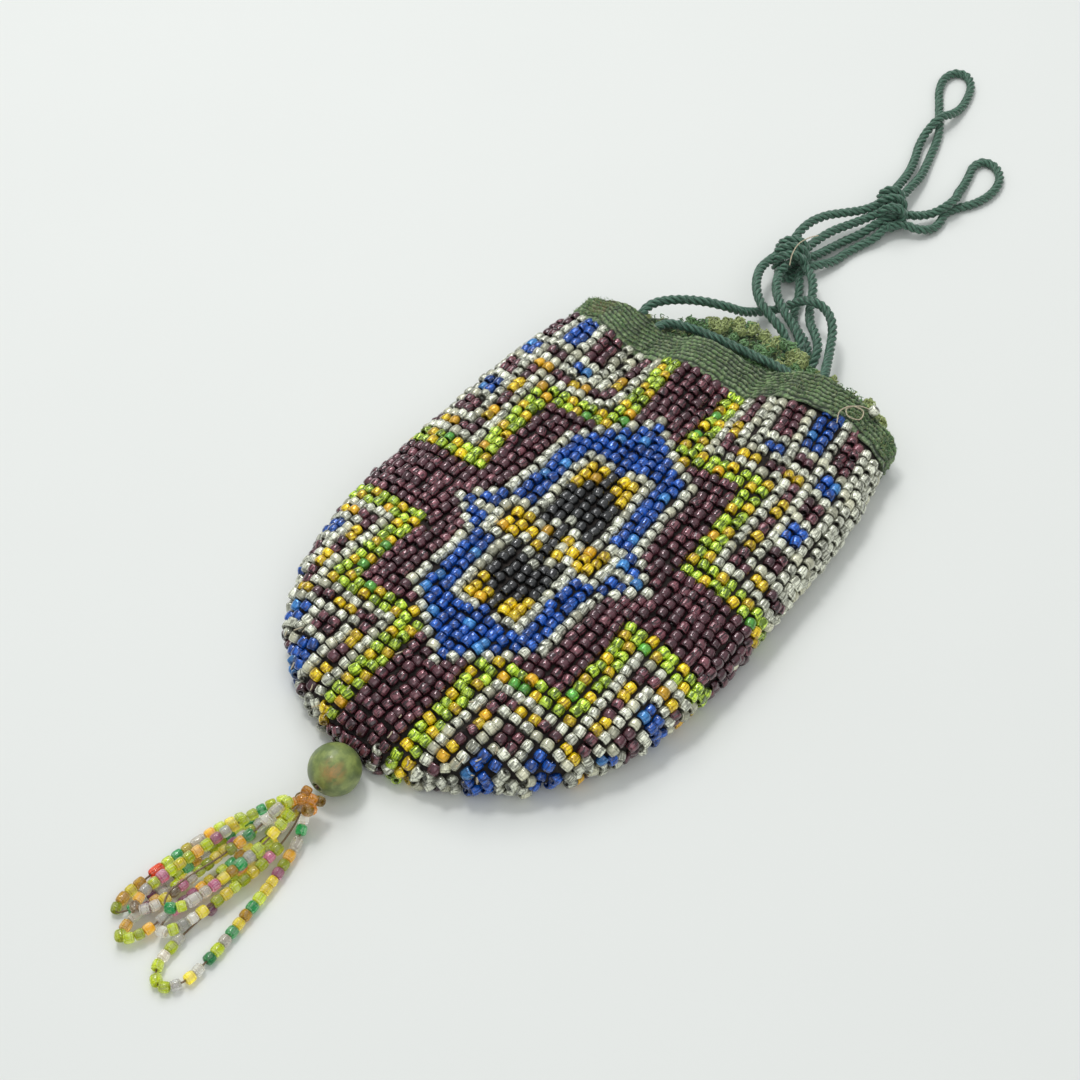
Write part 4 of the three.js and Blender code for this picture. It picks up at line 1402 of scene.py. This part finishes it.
# Two loose cream threads. A bead sits on the end of the first.
LOOSE_THREADS = (
    tenths(
        (240, 590, 112), (232, 612, 122), (246, 634, 126), (268, 640, 120), (272, 622, 116),
        (252, 610, 122), (240, 622, 124), (254, 650, 118), (276, 664, 108)),
    tenths((-93, 1046, 92), (-102, 1022, 97), (-108, 992, 98), (-104, 962, 92), (-96, 942, 80)),
)
# Short curls of cream thread between the beads near the tip
TIP_CURLS = 26
CURL_POINTS = 12


def tip_curl(depth, chance):
    """A short curl of thread that comes up between the beads."""
    along, turn = chance.uniform(0.01, 0.16), chance.uniform(0.25, math.pi - 0.25)
    spot, _ = pouch_point(np.array([turn]), np.array([along]), depth)
    size = 0.00075 * chance.normal(1, 0.12)
    start = chance.uniform(0, 2 * math.pi)
    t = start + np.linspace(0, chance.uniform(3.2, 5.6), CURL_POINTS)
    side = unit(np.array((chance.normal(0, 0.4), 1.0, chance.normal(0, 0.4))))
    line = spot[0] + size * (
        np.cos(t)[:, None] * side + np.sin(t)[:, None] * np.array((0.5, -0.3, 0.8)))
    above_floor(line, 0.0002)
    return strand(line, np.full(CURL_POINTS, 0.00012), 5, tint=chance.random())


class PURSE_OT_loose_threads(Operator):
    """Adds the loose cream threads, one with a clear bead on its end"""
    bl_idname = "purse.loose_threads"
    bl_label = "Loose Threads"

    def execute(self, context):
        depth = context.scene.purse_beadwork.depth * 0.35
        chance = np.random.default_rng(SEED + 4)
        parts = []
        for route in LOOSE_THREADS:
            line = evenly(flowing(route), 0.00025)
            parts.append(strand(line, np.full(len(line), 0.00013), 5, tint=chance.random()))
        parts += [tip_curl(depth, chance) for _ in range(TIP_CURLS)]
        points, faces, marks = joined(parts)
        loose = list(context.scene.purse_cord.loose)
        bright = [min(1, v * 1.4) for v in loose]
        made = fibre_finish("cream_thread", loose, bright, 2.0, 9.0, 0.6, 0.2)
        threads = piece("loose_threads", points, faces, marks, made, "thread")
        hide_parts("beaded_bag")
        end = Bead(np.array(LOOSE_THREADS[0][-1]), unit(np.array((0.4, 0.5, 0.6))),
                   unit(np.array((0.9, -0.3, -0.3))), 0.0018, "silver", True,
                   np.array((0, 0, 1.0)))
        points, faces, marks = bead_mesh([end], 0.0020, 0.0010, chance, 0.0)
        made = bpy.data.materials["silver_glass"]
        bead = piece("end_bead", points, faces, marks, made, "seed_beads")
        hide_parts("beaded_bag")
        return {"FINISHED"}


WOODEN_BEAD_SIDES = 56
WORN_PLACE = (-0.0012, -0.0597, 0.0082)
# The thread through the wooden bead: its route, and the length of one twist
THREAD_ROUTE = (
    (TIP_LEAN, TIP_Y - 0.0001, 0.0047), (TIP_LEAN, -0.0575, 0.0046), (TIP_LEAN, -0.0622, 0.0047),
)
THREAD_LAY = 0.0016


def wood_finish(settings):
    """Stained wood with grain along the hole and one worn patch."""
    wood = settings.wood
    made, tree, main = finish("sage_wood", Roughness=0.42, Coat_Weight=0.15)
    where = node(tree, "ShaderNodeTexCoord").outputs["Object"]
    stretched = node(tree, "ShaderNodeVectorMath", {0: where, 1: (900, 160, 900)},
                     operation="MULTIPLY").outputs[0]
    grain = node(tree, "ShaderNodeTexNoise", {
        "Vector": stretched, "Scale": 1.0, "Detail": 4.0, "Roughness": 0.6,
    }).outputs[0]
    lines = math_of(tree, "MULTIPLY", spread_of(tree, grain, 0.42, 0.62), 0.35)
    base = mixed(tree, patches_of(tree, 330.0, 0.42, 0.60), full(wood, 0.75),
                 full((wood[0] * 1.5, wood[1] * 1.35, wood[2] * 1.2)))
    base = mixed(tree, lines, base, full(wood, 0.5))
    near = spread_of(tree, distance_to(tree, where, WORN_PLACE), 0.0028, 0.0007)
    patch = math_of(tree, "MULTIPLY", near, spread_of(tree, grain, 0.35, 0.6))
    tint_all(tree, main, mixed(tree, patch, base, full(settings.worn)))
    bumped(tree, main, grain, 0.25, 0.0001)
    return made


class PURSE_OT_wooden_bead(Operator):
    """Turns the wooden bead above the tassel, and the thread through it"""
    bl_idname = "purse.wooden_bead"
    bl_label = "Wooden Bead"

    def execute(self, context):
        start = math.asin(WOODEN_BEAD_BORE / WOODEN_BEAD_RADIUS)
        angles = np.linspace(math.pi - start, start, 40)
        radius = WOODEN_BEAD_RADIUS * np.sin(angles)
        along = WOODEN_BEAD_RADIUS * np.cos(angles)
        end = along[-1]
        profile = np.concatenate((np.stack((radius, along), 1), (
            (WOODEN_BEAD_BORE * 0.96, end * 0.97), (WOODEN_BEAD_BORE * 0.94, 0.0),
            (WOODEN_BEAD_BORE * 0.96, -end * 0.97),
        )))
        points, faces = turned(profile, WOODEN_BEAD_SIDES)
        points = points[:, [0, 2, 1]] + (TIP_LEAN, WOODEN_BEAD_Y, WOODEN_BEAD_RADIUS)
        made = wood_finish(context.scene.purse_tassel)
        bead = piece("turned_bead", points, faces, {}, made, "wood")
        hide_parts("wooden_bead")
        line = evenly(np.array(THREAD_ROUTE), 0.0002)
        turn = run_of(line) * 2 * math.pi / THREAD_LAY
        parts = []
        for k in range(2):
            angle = turn + math.pi * k
            out = np.stack((np.cos(angle), np.zeros(len(turn)), np.sin(angle)), 1)
            parts.append(strand(line + out * 0.00022, np.full(len(line), 0.00024), 6, out, k))
        points, faces, marks = joined(parts)
        thread = piece("twisted_thread", points, faces, marks, thread_finish(context), "thread")
        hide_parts("tassel_thread")
        return {"FINISHED"}


def thread_finish(context):
    if "brown_thread" in bpy.data.materials:
        return bpy.data.materials["brown_thread"]
    brown = list(context.scene.purse_tassel.brown)
    return fibre_finish("brown_thread", brown, [v * 2 for v in brown], 2.0, 9.0, 0.8, 0.2)


# Glass of the tassel's beads, with how often each comes up
TASSEL_COLOURS = (
    ((0.95, 0.95, 0.90), 24), ((0.64, 0.76, 0.03), 20), ((0.92, 0.55, 0.05), 15),
    ((0.95, 0.80, 0.05), 14), ((0.03, 0.46, 0.13), 7), ((0.30, 0.08, 0.18), 6),
    ((0.80, 0.76, 0.68), 8), ((0.72, 0.24, 0.42), 4), ((0.28, 0.20, 0.12), 2),
)
# Places of the clear glasses in that list. Some of their beads are longer.
CLEAR = (0, 6)
AMBER = (0.86, 0.38, 0.01)
BROWN_AMBER = (0.36, 0.22, 0.02)
HEAD_BEADS = 10
# The one red bead is the one nearest to this place
RED_PLACE = (-0.0167, -0.0888, 0.0020)
RED = (0.95, 0.10, 0.02)
# Least distance between the middles of two beads
BEADS_APART = 0.00145
# So near the head, this share of the places stays bare
THIN_REACH = 0.012
THIN_SHARE = 0.25


def bare_thread(line, run, start, end, radius):
    """The thread that shows between two beads."""
    if end - start < 0.0005:
        return []
    at = np.linspace(start, end, max(3, int((end - start) / 0.0005) + 1))
    return [strand(points_at(line, run, at), np.full(len(at), radius), 5, tint=0.5)]


def loop_line(root, aim, reach, wide, bow, rise):
    """The line of one loop, from the tassel's head out and back."""
    span = (TASSEL_LENGTH - TASSEL_HEAD_RADIUS) * reach
    turn = math.radians(aim)
    ahead = np.array((-math.sin(turn), -math.cos(turn), 0))
    aside = np.array((ahead[1], -ahead[0], 0))
    base = STRAND_WIDTH / 2 + rise * STRAND_WIDTH
    sides = []
    for sign in (1, -1):
        points = []
        for out, off, bend, height in LOOP_SHAPE:
            shift = (sign * off * wide / 2 + bend * bow) * STRAND_WIDTH
            point = root + ahead * out * span + aside * shift
            point[2] = base * height
            points.append(point)
        sides.append(points)
    tip = root + ahead * span
    tip[2] = base
    return evenly(flowing([root] + sides[0] + [tip] + sides[1][::-1] + [root]), 0.0002)


def string_loop(line, settings, beads, threads, chance):
    """Strings beads on a loop: middle, direction, length and glass of each."""
    run = run_of(line)
    odds = np.array([share for _, share in TASSEL_COLOURS], dtype=float)
    odds = odds / odds.sum()
    at = 0.0022 + 0.001 * chance.random()
    bare_from = 0.0
    while at < run[-1] - 0.0026:
        pick = int(chance.choice(len(odds), p=odds))
        longer = chance.choice((1.0, 1.0, 1.5)) if pick in CLEAR else chance.normal(1, 0.06)
        size = settings.bead_length * longer
        start, middle, end = (points_at(line, run, at + size * share) for share in (0, 0.5, 1))
        crowded = any(np.linalg.norm(middle - bead[0]) < BEADS_APART for bead in beads)
        from_head = min(at, run[-1] - at)
        if not crowded and not (from_head < THIN_REACH and chance.random() < THIN_SHARE):
            beads.append((middle, unit(end - start), size, TASSEL_COLOURS[pick][0]))
            threads.extend(bare_thread(line, run, bare_from, at + 0.0002, settings.thread / 2))
            bare_from = at + size - 0.0002
        at += size * 1.02 + (0.0012 * chance.random() if chance.random() < 0.12 else 0)
    threads.extend(bare_thread(line, run, bare_from, run[-1], settings.thread / 2))


def head_beads(root, chance):
    """Amber beads heaped round the tassel's head."""
    beads = []
    for k in range(HEAD_BEADS):
        angle = k * 2.4
        spot = root + np.array((0.0009 + 0.0015 * math.cos(angle), 0.0008 - 0.00036 * k,
                                0.0003 + 0.0014 * math.sin(angle)))
        glass = AMBER if k % 4 else BROWN_AMBER
        beads.append((spot, unit(chance.normal(0, 1, 3)), 0.0017, glass))
    return beads


def tassel_mesh(beads, width, chance):
    """The tassel's beads in one mesh, each with its own colour."""
    shape, faces = bead_shape(0.42)
    points, all_faces, tint, hue = [], [], [], []
    for middle, axis, size, glass in beads:
        side = unit(np.cross(axis, (0.1, 0.2, 1)))
        other = np.cross(axis, side)
        wide = width / 2 * chance.normal(1, 0.04)
        points.append(middle + side * (wide * shape[:, :1]) + other * (wide * shape[:, 1:2])
                      + axis * (size / 2 * 0.97 * shape[:, 2:]))
        all_faces.append(faces + len(all_faces) * len(shape))
        tint.append(np.full(len(shape), chance.random()))
        hue.append(np.tile(np.array(glass) * chance.normal(1, 0.06), (len(shape), 1)))
    points = above_floor(np.concatenate(points))
    marks = {"place": np.tile(shape, (len(beads), 1)), "tint": np.concatenate(tint),
             "rise": np.ones(len(points)), "hue": np.clip(np.concatenate(hue), 0, 1)}
    return points, np.concatenate(all_faces), marks


def tassel_finish(name, **shader):
    """Partly see-through glass in the colour that each bead has, with painted white highlight
    streaks, painted shade on its rims and hole, and a painted glow of emission.
    """
    made, tree, main = finish(f"{name}_glass", Roughness=0.05, IOR=1.4, **shader)
    hue = mark_of(tree, "hue", "Color")
    look = placed(tree, bead_glass(), Streaks=0.3, Others=0.0, Body=hue, Bright=(1, 1, 0.9, 1),
                  Deep=mixed(tree, 1.0, hue, (0.55, 0.5, 0.42, 1), "MULTIPLY"))
    tint_all(tree, main, look.outputs["Color"], "Emission Color")
    bumped(tree, main, look.outputs["Height"], 0.3, 0.0003)
    return made


class PURSE_OT_tassel(Operator):
    """Strings the six loops of glass beads that make the tassel"""
    bl_idname = "purse.tassel"
    bl_label = "Tassel"

    def execute(self, context):
        settings = context.scene.purse_tassel
        chance = np.random.default_rng(SEED + 3)
        root = np.array((
            TIP_LEAN, WOODEN_BEAD_Y - 0.00461 - 0.0003 - TASSEL_HEAD_RADIUS, 0.0047))
        threads, beads = [], []
        for loop in LOOPS:
            string_loop(loop_line(root, *loop), settings, beads, threads, chance)
        beads += head_beads(root, chance)
        red = min(range(len(beads)),
                  key=lambda k: np.linalg.norm(beads[k][0] - np.array(RED_PLACE)))
        beads[red] = beads[red][:3] + (RED,)
        # glow is the emission strength of each glass, a painted glow
        for name, is_clear, see_through, glow in (
            ("strung_tassel", False, 0.68, 0.11), ("clear_tassel_beads", True, 0.72, 0.08),
        ):
            chosen = [bead for bead in beads if (min(bead[3]) > 0.6) == is_clear]
            points, faces, marks = tassel_mesh(chosen, settings.bead_width, chance)
            made = tassel_finish(name, Transmission_Weight=see_through, Emission_Strength=glow)
            tassel = piece(name, points, faces, marks, made, "tassel_beads")
            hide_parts("tassel")
        points, faces, marks = joined(threads)
        above_floor(points)
        strings = piece("tassel_strings", points, faces, marks, thread_finish(context), "thread")
        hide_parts("tassel")
        return {"FINISHED"}


class PURSE_OT_stage(Operator):
    """Lays the pale floor and sets the soft lights"""
    bl_idname = "purse.stage"
    bl_label = "Floor and Lights"

    def execute(self, context):
        settings = context.scene.purse_stage
        edge = np.linspace(-FLOOR_HALF, FLOOR_HALF, FLOOR_POINTS)
        x, y = np.meshgrid(edge, edge)
        points = np.stack((x.ravel(), y.ravel(), np.zeros(x.size)), 1)
        made, tree, main = finish("pale_floor", Roughness=0.85)
        tint_all(tree, main, mixed(
            tree, patches_of(tree, 9.0, 0.3, 0.7), full(settings.floor, 0.985),
            full(settings.floor)))
        faces = grid_faces(FLOOR_POINTS, FLOOR_POINTS, False)
        plane = piece("floor", points, faces, {}, made)
        context.scene.view_settings.view_transform = "Standard"
        world = context.scene.world or bpy.data.worlds.new("room")
        context.scene.world = world
        world.use_nodes = True
        room = world.node_tree
        back = room.nodes.get("Background")
        where = node(room, "ShaderNodeTexCoord").outputs["Generated"]
        high = node(room, "ShaderNodeSeparateXYZ", {0: where}).outputs[2]
        sky = mixed(room, spread_of(room, high, 0.0, 0.75), ROOM_LOW, ROOM_HIGH)
        room.links.new(sky, back.inputs["Color"])
        back.inputs["Strength"].default_value = ROOM_STRENGTH
        for name, (place, size, setting) in LIGHTS.items():
            data = bpy.data.lights.new(name, "AREA")
            data.shape = "DISK"
            data.size = size
            data.energy = getattr(settings, setting)
            lamp = bpy.data.objects.new(name, data)
            lamp.location = place
            heading = np.array(LIGHTS_AIM) - np.array(place)
            lamp.rotation_euler = Euler((
                math.acos(-heading[2] / np.linalg.norm(heading)), 0,
                math.atan2(heading[1], heading[0]) - math.pi / 2,
            ))
            context.scene.collection.objects.link(lamp)
        return {"FINISHED"}


class PURSE_PT_panel(Panel):
    """Lists the steps that build the purse, and their sizes and colours"""
    bl_idname = "PURSE_PT_panel"
    bl_label = "Beaded Purse"
    bl_space_type = "VIEW_3D"
    bl_region_type = "UI"
    bl_category = "Purse"

    def draw(self, context):
        layout = self.layout
        for step in STEPS:
            layout.operator(step.bl_idname)
        for name, group in SETTINGS.items():
            box = layout.box()
            values = getattr(context.scene, name)
            for key in group.__annotations__:
                box.prop(values, key)


SETTINGS = {
    "purse_beadwork": BeadworkSettings,
    "purse_band": BandSettings,
    "purse_cord": CordSettings,
    "purse_tassel": TasselSettings,
    "purse_stage": StageSettings,
}
STEPS = (
    PURSE_OT_camera, PURSE_OT_cords, PURSE_OT_pouch_cloth, PURSE_OT_beadwork, PURSE_OT_band,
    PURSE_OT_fray, PURSE_OT_wooden_bead, PURSE_OT_tassel, PURSE_OT_loose_threads,
    PURSE_OT_stage,
)


def register():
    for group in SETTINGS.values():
        bpy.utils.register_class(group)
    for step in STEPS:
        bpy.utils.register_class(step)
    bpy.utils.register_class(PURSE_PT_panel)
    for name, group in SETTINGS.items():
        setattr(bpy.types.Scene, name, PointerProperty(type=group))


def unregister():
    for name in SETTINGS:
        delattr(bpy.types.Scene, name)
    bpy.utils.unregister_class(PURSE_PT_panel)
    for step in reversed(STEPS):
        bpy.utils.unregister_class(step)
    for group in reversed(list(SETTINGS.values())):
        bpy.utils.unregister_class(group)


def main():
    register()
    for step in STEPS:
        family, name = step.bl_idname.split(".")
        getattr(getattr(bpy.ops, family), name)()
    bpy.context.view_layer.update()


if __name__ == "__main__":
    main()
